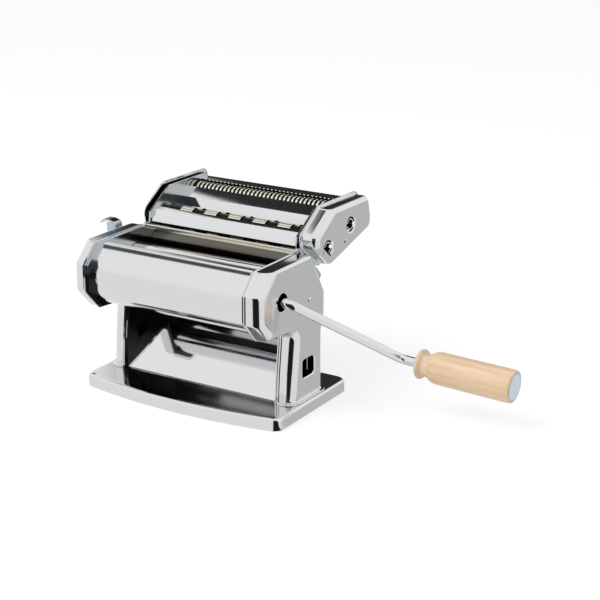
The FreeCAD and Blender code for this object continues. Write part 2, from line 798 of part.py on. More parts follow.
def bearingBlocks():
    """Blocks that slide in the side frames' slots. The left one holds the regulator's cam."""
    centre, link = ("adjustY", "rollerZ"), ("linkY", "linkZ")
    right = newBody("bearing_block_right")
    across(right, "blockInner", "blockThick", blockOutline())
    across(right, "blockFlangeInner", "blockFlangeThick", corners("blockFlange"))
    across(right, "blockInner + blockThick", "blockThick + 1",
           circles=[(centre, "journalBore"), (link, "linkRadius")], kind="Pocket")
    parts.append(right)
    left = newBody("bearing_block_left")
    across(left, "-leftBlockOuter", "leftBlockOuter - blockInner", blockOutline())
    across(left, "-leftBlockOuter", "leftBlockOuter - blockFlangeInner", corners("blockFlange"))
    # Cuts from the inner side for the journal and the link bar, and from the outer side for the cam
    across(left, "-blockInner", "journalPocket", circles=[(centre, "journalBore")], kind="Pocket")
    across(left, "-blockInner", "journalPocket", circles=[(link, "linkRadius")], kind="Pocket")
    depth = sizes["camRadius"] + sizes["camSideGap"]
    height = sizes["camRadius"] + sizes["camThrow"] + sizes["camEndGap"]
    window = rectangle(sizes["adjustY"] - depth, sizes["adjustY"] + depth, sizes["rollerZ"], height)
    across(left, "camPocket - leftBlockOuter", "camPocket", window, kind="Pocket")
    parts.append(left)
    bar = newBody("block_link_bar")
    across(bar, "-blockInner - journalPocket", "blockInner + journalPocket + blockInner + blockThick",
           circles=[(link, "linkRadius")])
    parts.append(bar)


# Gears

def gearOutline(teeth, module, pressure, addendum, dedendum, backlash, turn, steps=6):
    """Involute flanks: a point at radius r stands inv(r) further round than at the base circle."""
    pitch = teeth * module / 2
    base = pitch * cos(radians(pressure))
    tip, root = pitch + addendum, pitch - dedendum

    def involute(radius):
        ratio = max(radius / base, 1.0)
        return sqrt(ratio ** 2 - 1) - acos(1 / ratio)

    half = pi / (2 * teeth) - backlash / (2 * pitch) + involute(pitch)
    start = max(base, root + 0.05)
    radii = [start + (tip - start) * step / (steps - 1) for step in range(steps)]
    points = []
    for tooth in range(teeth):
        middle = 2 * pi * tooth / teeth + radians(turn)
        foot = half - involute(start)
        points.append((root, middle - foot))
        points += [(radius, middle - half + involute(radius)) for radius in radii]
        points += [(radius, middle + half - involute(radius)) for radius in reversed(radii)]
        points.append((root, middle + foot))
    return [(radius * cos(angle), radius * sin(angle)) for radius, angle in points]


def gear(label, centre, start, width, bore, tooth, turn, cutter=False):
    """A spur gear on a journal; tooth holds module, pressure angle, addendum, dedendum, backlash."""
    y, z = amount(centre[0]), amount(centre[1])
    outline = gearOutline(sizes["gearTeeth"], *tooth, turn)
    points = [Vector(amount(start), y + a, z + b) for a, b in outline]
    disc = Part.Face(Part.makePolygon(points + points[:1]))
    body = disc.extrude(Vector(amount(width), 0, 0))
    hole = Part.makeCylinder(amount(bore), amount(width), Vector(amount(start), y, z), Vector(1, 0, 0))
    feature = document.addObject("Part::Feature", label)
    feature.Shape = body.cut(hole)
    feature.Label = label
    if cutter:
        placeOnCutter(feature)
    parts.append(feature)


def rollerGears():
    """Long teeth, which stay in mesh while the rear roller moves."""
    teeth = (2.72, 25, 2.6, 3.2, 0.6)
    gear("drive_gear", ("driveY", "rollerZ"), "gearStart", "gearWidth", "journal", teeth, 0)
    gear("adjustable_gear", ("adjustY", "rollerZ"), "gearStart", "gearWidth", "journal", teeth, 15)


# Crank

def crankRod():
    """A round rod with two bends, and two dogs at its inner end that drive the roller."""
    floor = sizes["driveEnd"] - sizes["socketDepth"]
    start = Vector(floor + sizes["rodGap"], sizes["driveY"], sizes["rollerZ"])
    first = Vector(sizes["firstBendX"], sizes["driveY"], sizes["rollerZ"])
    second = Vector(sizes["secondBendX"], sizes["secondBendY"], sizes["secondBendZ"])
    droop = radians(sizes["gripDroop"])
    end = second + Vector(cos(droop), 0, -sin(droop)) * sizes["rodInGrip"]
    path = bentPath([start, first, second, end], sizes["bendRadius"])
    ring = Part.Wire(Part.makeCircle(sizes["rodRadius"], start, Vector(1, 0, 0)))
    rod = path.makePipeShell([ring], True, True)
    span, thick = sizes["dogSpan"], sizes["dogThick"]
    corner = Vector(sizes["driveEnd"] - sizes["dogSetback"], start.y - span / 2, start.z - thick / 2)
    dog = Part.makeBox(sizes["dogLength"], span, thick, corner)
    feature = document.addObject("Part::Feature", "crank_rod")
    feature.Shape = rod.fuse(dog).removeSplitter()
    feature.Label = "crank_rod"
    parts.append(feature)
    expected = pi * sizes["rodRadius"] ** 2 * path.Length
    print("crank rod volume", round(rod.Volume), "of", round(expected), "bend radius", sizes["bendRadius"])


def bentPath(points, radius):
    """Straight runs joined by tangent arcs."""
    edges = []
    here = points[0]
    for before, corner, after in zip(points, points[1:], points[2:]):
        inward = (before - corner).normalize()
        outward = (after - corner).normalize()
        half = inward.getAngle(outward) / 2
        reach = radius / sin(half) * cos(half)
        bisector = (inward + outward).normalize()
        centre = corner + bisector * (radius / sin(half))
        enter, leave = corner + inward * reach, corner + outward * reach
        edges.append(Part.LineSegment(here, enter).toShape())
        edges.append(Part.Arc(enter, centre - bisector * radius, leave).toShape())
        here = leave
    edges.append(Part.LineSegment(here, points[-1]).toShape())
    return Part.Wire(edges)


def turnedOnGrip(label, profile):
    """A piece turned about the grip's drooping axis; profile is (distance from the bend, radius)."""
    body = newBody(label)
    sketch = newSketch(body, "XY_Plane", "0")
    addPolygon(sketch, profile)
    feature = body.newObject("PartDesign::Revolution", label + "Revolution")
    feature.Profile = sketch
    feature.ReferenceAxis = (sketch, ["H_Axis"])
    feature.Angle = 360
    body.Tip = feature
    turn = FreeCAD.Rotation(Vector(0, 1, 0), sizes["gripDroop"])
    place = Vector(sizes["secondBendX"], sizes["secondBendY"], sizes["secondBendZ"])
    body.Placement = FreeCAD.Placement(place, turn)
    for axis in "XYZ":
        bind(body, f"Placement.Base.{axis.lower()}", f"secondBend{axis}")
    bind(body, "Placement.Rotation.Angle", "gripDroop")
    document.recompute()
    parts.append(body)
    return body


def woodenGrip():
    """A turned beech grip: bead, neck, shoulder and a body that swells a little to its end."""
    start, end, bore = "gripStart", "gripEnd", "gripBore"
    turnedOnGrip("wooden_grip", [
        (start, bore), (start, "10.6"), ("gripStart + 0.8", "11.9"), ("gripStart + 2.2", "12.4"),
        ("gripStart + 3.8", "12.0"), ("gripStart + 5.2", "10.9"), ("gripStart + 6.2", "10.1"),
        ("gripStart + 8.4", "9.9"), ("gripStart + 11", "10.7"), ("gripStart + 13.8", "12.3"),
        ("gripStart + 16.2", "13.4"), ("gripStart + 18.6", "13.75"), ("gripEnd - 2", "13.75"),
        (end, "12.3"), (end, "11.2"), ("gripEnd - 1.5", "11.2"), ("gripEnd - 1.5", "8.0"),
        ("gripEnd - 9", "8.0"), ("gripEnd - 9", bore)])
    turnedOnGrip("grip_end_cap", [
        ("gripEnd - 1.5", "0"), ("gripEnd - 1.5", "11.2"), ("gripEnd + 0.2", "11.2"),
        ("gripEnd + 0.4", "10.6"), ("gripEnd + 0.4", "0")])
    turnedOnGrip("grip_washer", [("gripEnd - 8.6", "rodRadius"), ("gripEnd - 8.6", "6.5"),
                                 ("gripEnd - 7.2", "6.5"), ("gripEnd - 7.2", "rodRadius")])


# Regulator on the left

def regulator():
    """The cam shaft, the dial on the cover, the knob with its spring and the thumb lever."""
    axis = ("knobY", "rollerZ")
    shaft = newBody("regulator_shaft")
    across(shaft, "-shaftOuter", "shaftLength", circles=[(axis, "regulatorShaft")])
    across(shaft, "-camOuter", "camWidth", circles=[(("knobY + camThrow", "rollerZ"), "camRadius")])
    inner = "shaftScrewLength - shaftOuter - shaftScrewSetback"
    across(shaft, inner, "throughCut", circles=[(axis, "shaftScrew")], kind="Pocket")
    parts.append(shaft)
    screw = newBody("shaft_screw")
    across(screw, "-shaftOuter - shaftScrewSetback", "shaftScrewLength", circles=[(axis, "shaftScrew")])
    across(screw, "-shaftScrewHeadOuter", "shaftScrewHeadOuter - shaftOuter",
           circles=[(axis, "shaftScrewHead")])
    parts.append(screw)
    washer = newBody("knob_washer")
    across(washer, "-shaftOuter", "knobWasherThick", circles=[(axis, "knobWasher")])
    across(washer, "knobWasherThick - shaftOuter", "throughCut", circles=[(axis, "regulatorShaft")],
           kind="Pocket")
    parts.append(washer)
    dial = newBody("regulator_dial")
    across(dial, "-coverFace - dialThick", "dialThick", circles=[(axis, "dialRadius")])
    across(dial, "-coverFace", "dialSleeveLength", circles=[(axis, "dialSleeve")])
    across(dial, "dialSleeveLength - coverFace", "dialSleeveLength + throughCut",
           circles=[(axis, "regulatorBore")], kind="Pocket")
    parts.append(dial)
    knobPieces(axis)
    thumbLever(axis)


def knobPieces(axis):
    """The black knob with the well for its spring, its cap, the detent pin and the spring's space."""
    knob = newBody("regulator_knob")
    body = across(knob, "-knobOuter", "knobDepth", circles=[(axis, "knobRadius")])
    rim = edgesWhere(body.Shape, lambda edge: edge.BoundBox.XMax < 0.1 - sizes["knobOuter"])
    dress(knob, body, "Chamfer", rim, "Size", "knobEdge")
    across(knob, "knobDepth - knobOuter", "knobDepth + 1", circles=[(axis, "regulatorBore")], kind="Pocket")
    across(knob, "-knobFloor", "knobDepth", circles=[(axis, "knobWell")], kind="Pocket")
    parts.append(knob)
    cap = newBody("knob_cap")
    plate = across(cap, "-knobOuter - knobCapThick", "knobCapThick", circles=[(axis, "knobCap")])
    face = -sizes["knobOuter"] - sizes["knobCapThick"]
    rim = edgesWhere(plate.Shape, lambda edge: edge.BoundBox.XMax < face + 0.1)
    dress(cap, plate, "Chamfer", rim, "Size", "knobCapEdge")
    parts.append(cap)
    pin = newBody("detent_pin")
    place = ("knobY", "rollerZ - pinDrop")
    across(pin, "knobDepth - knobOuter", "pinLength", circles=[(place, "pinRadius")])
    parts.append(pin)
    springSleeve(axis)


def springSleeve(axis):
    """The space of the hidden compression spring, between the knob's floor and the washer."""
    body = newBody("knob_spring")
    across(body, "knobWasherThick - shaftOuter", "shaftOuter - knobWasherThick - knobFloor",
           circles=[(axis, "springOuter")])
    across(body, "-knobFloor", "knobDepth", circles=[(axis, "springInner")], kind="Pocket")
    parts.append(body)


def thumbLever(axis):
    """A bracket on the knob's inner side, with a finger tab that curls outwards over the knob."""
    y, z = amount(axis[0]), amount(axis[1])
    front, top = y - sizes["leverFront"], z + sizes["leverHeight"]
    width, sheet, arm = sizes["leverWidth"], sizes["leverSheet"], sizes["leverArmThick"]
    inner = sizes["knobDepth"] - sizes["knobOuter"]
    foot = z + sizes["leverCheekFoot"]
    pieces = [
        block("lever_arm", Vector(inner, front, z), Vector(arm, width, top - z)),
        block("lever_roof", Vector(-sizes["leverRoofOuter"], front, top - sheet),
              Vector(sizes["leverRoofLength"], width, sheet)),
        block("lever_tip", Vector(-sizes["leverTipOuter"], front, top - sizes["leverTipDrop"]),
              Vector(sizes["leverTipLength"], width, sheet)),
        block("lever_cheek", Vector(-sizes["leverCheekOuter"], front, foot),
              Vector(sheet, width, top - sheet / 2 - foot)),
        rod("lever_hub", Vector(inner, y, z), sizes["leverHub"], arm),
        rod("lever_pin", Vector(-sizes["leverPinOuter"], front + width / 2, z + sizes["leverPinZ"]),
            sizes["leverPinRadius"], sizes["leverPinLength"]),
    ]
    whole = document.addObject("Part::MultiFuse", "lever_blank")
    whole.Shapes = pieces
    lever = document.addObject("Part::Cut", "regulator_lever")
    lever.Base = whole
    lever.Tool = rod("lever_bore", Vector(inner - 1, y, z), sizes["regulatorBore"], arm + 2)
    lever.Label = "regulator_lever"
    parts.append(lever)


def block(name, corner, extent):
    item = document.addObject("Part::Box", name)
    item.Length, item.Width, item.Height = extent.x, extent.y, extent.z
    item.Placement = FreeCAD.Placement(corner, FreeCAD.Rotation())
    return item


def rod(name, start, radius, length):
    """A cylinder along X."""
    item = document.addObject("Part::Cylinder", name)
    item.Radius = radius
    item.Height = length
    item.Placement = FreeCAD.Placement(start, FreeCAD.Rotation(Vector(0, 1, 0), 90))
    return item


# Cutter head, drawn level and tilted as a whole

def cutterCover(label, depth, edge, holes):
    """A drawn shell with a rounded face and an out-turned lip."""
    body = newBody(label, True)
    block = across(body, "frameOuter", depth, corners("cutterCover"))
    rounds = edgesWhere(block.Shape, runsAlongX)
    corner = dress(body, block, "Fillet", rounds, "Radius", "cutterCorner")
    face = sizes["frameOuter"] + amount(depth)
    outer = edgesWhere(corner.Shape, lambda edge: edge.BoundBox.XMin > face - 0.01)
    rounded = dress(body, corner, "Fillet", outer, "Radius", edge)
    hollow(body, rounded, lambda side: side.BoundBox.XMax < sizes["frameOuter"] + 0.01)
    wide = offset(outlines["cutterCover"], sizes["cutterLip"])
    inner = offset(outlines["cutterCover"], -sizes["cutterOverlap"])
    rim = [outlines["cutterCover"][0]] + wide[1:6] + [outlines["cutterCover"][6]]
    sketch = newSketch(body, "YZ_Plane", "frameOuter")
    addPolygon(sketch, rim)
    addPolygon(sketch, inner)
    sweep(body, sketch, "sheet")
    across(body, f"frameOuter + {depth} + 1", "throughCut", circles=holes, kind="Pocket")
    return body


def cutterSides():
    """The head's end covers, its inner plates and a rivet in each cover."""
    middle = ("rodMiddley", "rodMiddlez")
    plain = [(middle, "rivetRadius")]
    drive = [(("0", "0"), "cutterHole"), (("fineA", "fineB"), "cutterHole")]
    parts.append(cutterCover("cutter_cover_right", "coverDepth", "cutterEdge", drive + plain))
    pattern = cutterCover("left_cutter_pattern", "leftCutterFace - frameOuter", "leftCutterEdge", plain)
    mirrored("cutter_cover_left", pattern)
    plate = newBody("cutter_plate_right", True)
    across(plate, "plateInner", "plateOuter - plateInner", corners("cutterPlate"))
    addHook(plate)
    rods = [((f"rod{name}y", f"rod{name}z"), "rodEnd") for name in cutterRods]
    bores = [(centre, "cutterBush") for centre in cutterAxes()]
    across(plate, "plateOuter", "throughCut", circles=bores + rods, kind="Pocket")
    parts.append(plate)
    mirrored("cutter_plate_left", plate)
    right = cutterRivet("cutter_rivet_right", middle, "coverFace")
    left = cutterRivet("cutter_rivet_left", middle, "leftCutterFace")
    group("cutter_rivets", [right, mirrored("left_cutter_rivet", left, False)])


def cutterRivet(label, place, face):
    rivet = newBody(label, True)
    across(rivet, f"{face} - rivetDepth", "rivetDepth", circles=[(place, "rivetRadius")])
    across(rivet, face, "cutterRivetThick", circles=[(place, "cutterRivetHead")])
    return rivet


def cutterAxes():
    """Axes of the wide pair and of the fine pair."""
    return [("0", "0"), ("wideSpacing", "0"), ("fineA", "fineB"), ("fineA + fineSpacing", "fineB")]


def railPoint(along, above):
    """A point by its distance down the rail and its height square to it, in the head's own plane."""
    slope = radians(sizes["railSlope"])
    run, rise = cos(slope), sin(slope)
    return (sizes["railA"] + along * run - above * rise, sizes["railB"] + along * rise + above * run)


def addHook(plate):
    """A channel over the rail: a web on the rail's edge and a leg down its outer side."""
    length = "frameOuter + hookClear + hookThick - plateOuter + lipOverlap"
    across(plate, "plateOuter - lipOverlap", length, hookSection("hookGap"))
    across(plate, "frameOuter + hookClear", "hookThick", hookSection("hookLeg"))


def hookSection(low):
    """The outline of the hook between a height above the rail and the hook's top."""
    start, end, low, high = (sizes[name] for name in ("hookStart", "hookEnd", low, "hookTop"))
    return [railPoint(start, low), railPoint(end, low), railPoint(end, high), railPoint(start, high)]


def ringRoller(label, centre, core, ring, first, pitch, width, count, ends=(), socket=False):
    """A core with cutting rings at an even pitch, and end rings where the last is cut short."""
    near = "cutterEnd" if socket else "cutterShortEnd"
    body = newBody(label, True)
    across(body, "-cutterFarEnd", f"{near} + cutterFarEnd", circles=[(centre, "cutterJournal")])
    across(body, "-cutterHalf", "cutterHalf + cutterHalf", circles=[(centre, core)])
    for start, end in ends:
        across(body, start, f"{end} - {start}", circles=[(centre, ring)])
    pad = across(body, first, width, circles=[(centre, ring)])
    repeat(body, pad, pitch, count)
    if socket:
        cutSocket(body, centre, "cutterEnd", "cutterSocket")
    parts.append(body)


def firstRing(pitch, steps, width):
    """Where the leftmost ring starts, when its middle is some pitches left of the head's middle."""
    return -steps * sizes[pitch] - sizes[width] / 2


def cuttingRollers():
    """Two meshing pairs: wide rings with wide grooves, and fine rings, each pair with its gears."""
    wide, fine = cutterAxes()[:2], cutterAxes()[2:]
    near, far = "endRingStart", "cutterHalf"
    ringRoller("wide_roller_front", wide[0], "wideCore", "wideRing",
               firstRing("widePitch", 1.75, "wideWidth"), "widePitch", "wideWidth", 5,
               [("-" + far, "-" + near)], socket=True)
    ringRoller("wide_roller_rear", wide[1], "wideCore", "wideRing",
               firstRing("widePitch", 2.25, "wideWidth"), "widePitch", "wideWidth", 5, [(near, far)])
    ringRoller("fine_roller_front", fine[0], "fineCore", "fineRing",
               firstRing("finePitch", 16.5, "fineWidth"), "finePitch", "fineWidth", 34, socket=True)
    ringRoller("fine_roller_rear", fine[1], "fineCore", "fineRing",
               firstRing("finePitch", 17, "fineWidth"), "finePitch", "fineWidth", 35)
    wideTeeth = (sizes["wideSpacing"] / sizes["gearTeeth"], 25, 1.0, 1.35, 0.3)
    fineTeeth = (sizes["fineSpacing"] / sizes["gearTeeth"], 25, 1.1, 1.45, 0.3)
    place = ("cutterGearStart", "cutterGearWidth", "cutterJournal")
    gear("wide_gear_front", wide[0], *place, wideTeeth, 0, True)
    gear("wide_gear_rear", wide[1], *place, wideTeeth, 15, True)
    gear("fine_gear_front", fine[0], *place, fineTeeth, 0, True)
    gear("fine_gear_rear", fine[1], *place, fineTeeth, 15, True)


def comb(label, axis, ring, side, first, pitch, width, count):
    """A strip under one cutting roller, with a tooth in each groove to lift the pasta out."""
    a, b = amount(axis[0]), amount(axis[1])
    low = b - sizes[ring]
    near = a + side * sizes["combNear"]
    far = a - side * sizes["combFar"]
    deep = a - side * sizes["combDeep"]
    body = newBody(label, True)
    strip = combSection(near, far, low - sizes["combStripLow"], low - sizes["combStripHigh"])
    across(body, "-plateInner", "plateInner + plateInner", strip)
    tooth = combSection(near, deep, low - sizes["combStripHigh"] - 0.1, low + sizes["combToothTop"])
    pad = across(body, first, width, tooth)
    repeat(body, pad, pitch, count)
    parts.append(body)


def combSection(near, far, low, high):
    front, back = min(near, far), max(near, far)
    return [(front, low), (back, low), (back, high), (front, high)]


def repeat(body, pad, pitch, count):
    """The same pad again and again along X, one pitch apart."""
    pattern = body.newObject("PartDesign::LinearPattern", body.Name + "Pattern")
    pattern.Originals = [pad]
    axis = next(item for item in body.Origin.OriginFeatures if item.Role == "X_Axis")
    pattern.Direction = (axis, [""])
    pattern.Length = amount(pitch) * (count - 1)
    pattern.setExpression("Length", f"Sizes.{pitch} * {count - 1}")
    pattern.Occurrences = count
    body.Tip = pattern
    document.recompute()


def combs():
    """One comb for each cutting roller, with teeth in the grooves between its rings."""
    wide, fine = cutterAxes()[:2], cutterAxes()[2:]
    comb("wide_comb_front", wide[0], "wideRing", 1, firstRing("widePitch", 2.25, "wideToothWidth"),
         "widePitch", "wideToothWidth", 5)
    comb("wide_comb_rear", wide[1], "wideRing", -1, firstRing("widePitch", 1.75, "wideToothWidth"),
         "widePitch", "wideToothWidth", 5)
    comb("fine_comb_front", fine[0], "fineRing", 1, firstRing("finePitch", 16, "fineToothWidth"),
         "finePitch", "fineToothWidth", 33)
    comb("fine_comb_rear", fine[1], "fineRing", -1, firstRing("finePitch", 16.5, "fineToothWidth"),
         "finePitch", "fineToothWidth", 34)


# Build, check and write

def build():
    basePlate()
    standOnFeet()
    sideCovers()
    coverRivets()
    sideFrame()
    frontHood()
    bentSheet("rear_guide", "rearGuide", "frameInner", sizes["sheet"])
    bentSheet("outlet_chute", "chute", "frameInner", sizes["sheet"])
    bentSheet("front_scraper", "frontScraper", "frameInner", 0.8)
    bentSheet("rear_scraper", "rearScraper", "frameInner", 0.8)
    rodsAndNuts("stand", standRods, "frameInner", "frameOuter", "standRod")
    bushes("roller_bushes", [("driveY", "rollerZ")], "journalBore",
           [("frameInner", "frameOuter - frameInner", "bushSleeve"),
            ("frameOuter", "bushFlangeThick", "bushFlange")])
    smoothRollers()
    bearingBlocks()
    rollerGears()
    crankRod()
    woodenGrip()
    regulator()
    cutterSides()
    hemmedSheet("cutter_front_sheet", "frontSheet", "plateInner", "cutterHem")
    bentSheet("cutter_ridge_sheet", "ridgeSheet", "plateInner", -0.5, True)
    bentSheet("cutter_back_cover", "backCover", "plateInner", -0.8, True)
    rodsAndNuts("cutter", cutterRods, "plateInner", "plateOuter", "cutterRod", True)
    bushes("cutter_bushes", cutterAxes(), "cutterBore",
           [("plateInner", "plateOuter - plateInner", "cutterBush"),
            ("plateOuter", "cutterBushThick", "cutterBushFlange")], True)
    cuttingRollers()
    combs()


def failures():
    """Objects that failed to recompute, and pieces that aren't sound closed solids."""
    found = [item.Name for item in document.Objects if {"Invalid", "Error"} & set(item.State)]
    for item in parts:
        shape = item.Shape
        if shape.isNull() or not shape.isValid() or not shape.Solids or shape.Volume <= 0:
            found.append(item.Label + " shape")
    return found


def write():
    os.makedirs("parts", exist_ok=True)
    for item in parts:
        item.Shape.exportStep(f"parts/{item.Label}.step")
    solids = sum(len(item.Shape.Solids) for item in parts)
    print("nodes", len(parts), "solids", solids)


build()
document.recompute()
broken = failures()
if broken:
    raise RuntimeError("not sound: " + ", ".join(broken))
write()
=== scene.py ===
import json
from math import cos, pi, radians, sin

import bmesh
import bpy
import numpy as np
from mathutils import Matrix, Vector
from mathutils.geometry import tessellate_polygon


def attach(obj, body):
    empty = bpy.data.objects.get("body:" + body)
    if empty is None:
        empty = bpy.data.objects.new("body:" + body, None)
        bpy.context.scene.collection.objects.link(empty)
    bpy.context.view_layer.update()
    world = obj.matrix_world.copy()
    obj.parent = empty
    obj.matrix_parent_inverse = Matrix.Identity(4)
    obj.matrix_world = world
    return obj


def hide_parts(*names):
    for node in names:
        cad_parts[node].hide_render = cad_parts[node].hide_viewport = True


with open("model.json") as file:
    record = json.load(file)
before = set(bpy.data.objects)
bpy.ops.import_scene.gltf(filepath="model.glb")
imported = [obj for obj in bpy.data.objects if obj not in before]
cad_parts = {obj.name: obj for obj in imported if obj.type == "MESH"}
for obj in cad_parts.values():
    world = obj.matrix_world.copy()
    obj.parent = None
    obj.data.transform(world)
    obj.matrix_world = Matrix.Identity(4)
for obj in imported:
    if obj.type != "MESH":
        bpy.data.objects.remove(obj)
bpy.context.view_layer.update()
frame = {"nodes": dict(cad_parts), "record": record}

# A hand-cranked pasta machine in polished chrome with a beech grip.
# Lengths are in millimetres here and become metres where a mesh is made.
# X runs along the rollers towards the crank, the front is -Y.

millimetre = 0.001
print("frame loaded")


# Colours and shader nodes

def linear(hexText):  # an sRGB hex colour as linear RGBA
    parts = np.array([int(hexText[start:start + 2], 16) for start in (1, 3, 5)]) / 255
    curve = np.where(parts <= 0.04045, parts / 12.92, ((parts + 0.055) / 1.055) ** 2.4)
    return tuple(float(part) for part in curve) + (1.0,)


def addNode(tree, kind, settings=None, links=None):
    # One shader node. settings: values by the name of a property or socket, or by a socket's number;
    # links: what joins each socket, either a socket or a node whose first output is meant
    node = tree.nodes.new("ShaderNode" + kind)
    for name, value in (settings or {}).items():
        if isinstance(name, str) and hasattr(node, name):
            setattr(node, name, value)
        else:
            node.inputs[name].default_value = value
    for socket, source in (links or {}).items():
        tree.links.new(getattr(source, "outputs", [source])[0], node.inputs[socket])
    return node


def emptyTree(owner):  # the nodes of a material or of the world, all taken out
    owner.use_nodes = True
    owner.node_tree.nodes.clear()
    return owner.node_tree


def newMaterial(name, settings):  # a Principled surface with the given sockets
    material = bpy.data.materials.new(name)
    tree = emptyTree(material)
    surface = addNode(tree, "BsdfPrincipled", settings)
    addNode(tree, "OutputMaterial", links={"Surface": surface})
    return material, tree, surface


def objectPlace(tree, stretch=(1, 1, 1), turn=(0, 0, 0)):  # Object coordinates, scaled per axis and turned
    place = addNode(tree, "TexCoord").outputs["Object"]
    return addNode(tree, "Mapping", {"Scale": stretch, "Rotation": turn}, {"Vector": place})


# What a Math node does in several trees
multiply = {"operation": "MULTIPLY"}
inDegrees = {"operation": "DEGREES"}
larger = {"operation": "MAXIMUM"}


# Metals. A metal keeps the default IOR; its colour is its reflectance.

def polishedMetal(name, colour, roughness, haze, wave, grain=None, paintedShade=None):
    # haze: how much wiping marks raise the roughness; wave: height of the sheet's slow waviness, in mm;
    # the last: colour and roughness of painted shade, put where the mesh's own attribute asks for it, or
    # else below a height and before a depth, each with the half width of its soft edge, in metres. It
    # darkens shaded insides.
    # A Map Range node's sockets 1 and 2 are the range that it reads, 3 and 4 the range that it gives.
    material, tree, surface = newMaterial(name, {"Base Color": linear(colour), "Metallic": 1.0,
                                                 "Roughness": roughness})
    smear = addNode(tree, "TexNoise", {"Scale": 28.0, "Detail": 5.0, "Roughness": 0.6},
                    {"Vector": objectPlace(tree)})  # wiping marks about 35 mm long
    rough = addNode(tree, "MapRange", {1: 0.35, 2: 0.75, 3: roughness, 4: roughness + haze},
                    {0: smear.outputs["Fac"]})
    # Painted shade: a dark colour and its roughness, mixed in where shade falls
    if paintedShade:
        place = addNode(tree, "Attribute", {"attribute_name": "paintedShade"}).outputs["Fac"]
        if "below" in paintedShade:
            parts = addNode(tree, "SeparateXYZ", links={0: objectPlace(tree)}).outputs
            edges = [(parts[2], *paintedShade["below"]), (parts[1], *paintedShade["before"])]
            sides = [addNode(tree, "MapRange", {1: edge - soft, 2: edge + soft, 3: 1.0, 4: 0.0}, {0: part})
                     for part, edge, soft in edges]
            place = addNode(tree, "Math", multiply, dict(enumerate(sides)))
        mixed = addNode(tree, "MixRGB", {"Color1": linear(colour), "Color2": linear(paintedShade["colour"])},
                        {"Fac": place})
        tree.links.new(mixed.outputs[0], surface.inputs["Base Color"])
        rough = addNode(tree, "Mix", {3: paintedShade["roughness"]}, {0: place, 2: rough})
    tree.links.new(rough.outputs[0], surface.inputs["Roughness"])
    slow = addNode(tree, "TexNoise", {"Scale": 22.0, "Detail": 1.0},
                   {"Vector": objectPlace(tree)})  # waves about 45 mm long
    bump = addNode(tree, "Bump", {"Strength": 1.0, "Distance": wave * millimetre},
                   {"Height": slow.outputs["Fac"]})
    if grain:  # fine lines along one axis, from grinding or turning
        lines = addNode(tree, "TexNoise", {"Scale": 1.0, "Detail": 3.0},
                        {"Vector": objectPlace(tree, grain["stretch"])})
        bump = addNode(tree, "Bump", {"Strength": 1.0, "Distance": grain["height"] * millimetre},
                       {"Height": lines.outputs["Fac"], "Normal": bump})
    tree.links.new(bump.outputs[0], surface.inputs["Normal"])
    return material


# Chromed steel sheet: mirror bright, faintly wavy from the press, a little hazy where a cloth wiped it
chrome = polishedMetal("ChromedSteelSheet", "#DEDFE0", 0.035, 0.05, 0.004)
# Chromed and drawn covers: the same plate on deep-drawn steel, a little softer than the flat sheets, with
# near-black insides, which are painted shade inside the shells
drawnChrome = polishedMetal("ChromedDrawnSteel", "#DEDFE0", 0.085, 0.05, 0.006,
                            paintedShade={"colour": "#232220", "roughness": 0.45})
# Satin chromed guide behind the rollers: warm at its edge, painted near-black brown below as shade
guideSteel = polishedMetal("SatinGuideSteel", "#E3DECF", 0.10, 0.08, 0.004,
                           paintedShade={"colour": "#1A1712", "roughness": 0.24})
# Bright zinc plate: nearly neutral, with a soft shine; painted dark inside the stand, below the rollers, as
# shade
zinc = polishedMetal("ZincPlatedSteel", "#C4CACE", 0.13, 0.08, 0.004,
                     paintedShade={"colour": "#2E3032", "roughness": 0.3, "below": (0.112, 0.004),
                           "before": (0.027, 0.002)})
# Zinc plate with blue passivation, on the thumb lever
blueZinc = polishedMetal("BlueZincPlatedSteel", "#BCCBD6", 0.16, 0.08, 0.004)
# Ground and plated roller steel: fine lines round the roller
rollerSteel = polishedMetal("GroundRollerSteel", "#DADADA", 0.10, 0.05, 0.001,
                            {"stretch": (2600.0, 30.0, 30.0), "height": 0.0015})
# Turned cutter steel: warm, with turning marks about 0.4 mm apart, and grooves between the rings painted
# dark as shade
cutterSteel = polishedMetal("TurnedCutterSteel", "#F0EBDC", 0.20, 0.06, 0.001,
                            {"stretch": (2200.0, 40.0, 40.0), "height": 0.002},
                            {"colour": "#1E1D1A", "roughness": 0.35})
# Milled gear steel, oiled, seen only through gaps
gearSteel = polishedMetal("OiledGearSteel", "#8F8D88", 0.28, 0.12, 0.004)
# Sintered bronze of the bushes: dull and warm
bronze = polishedMetal("SinteredBronze", "#B08A4E", 0.36, 0.12, 0.004)
# Zinc-plated screws, rods, nuts and rivets
fastenerSteel = polishedMetal("PlatedFastenerSteel", "#DDE0E2", 0.16, 0.10, 0.004)
# Blued spring wire
springSteel = polishedMetal("SpringSteel", "#6F7378", 0.25, 0.10, 0.004)


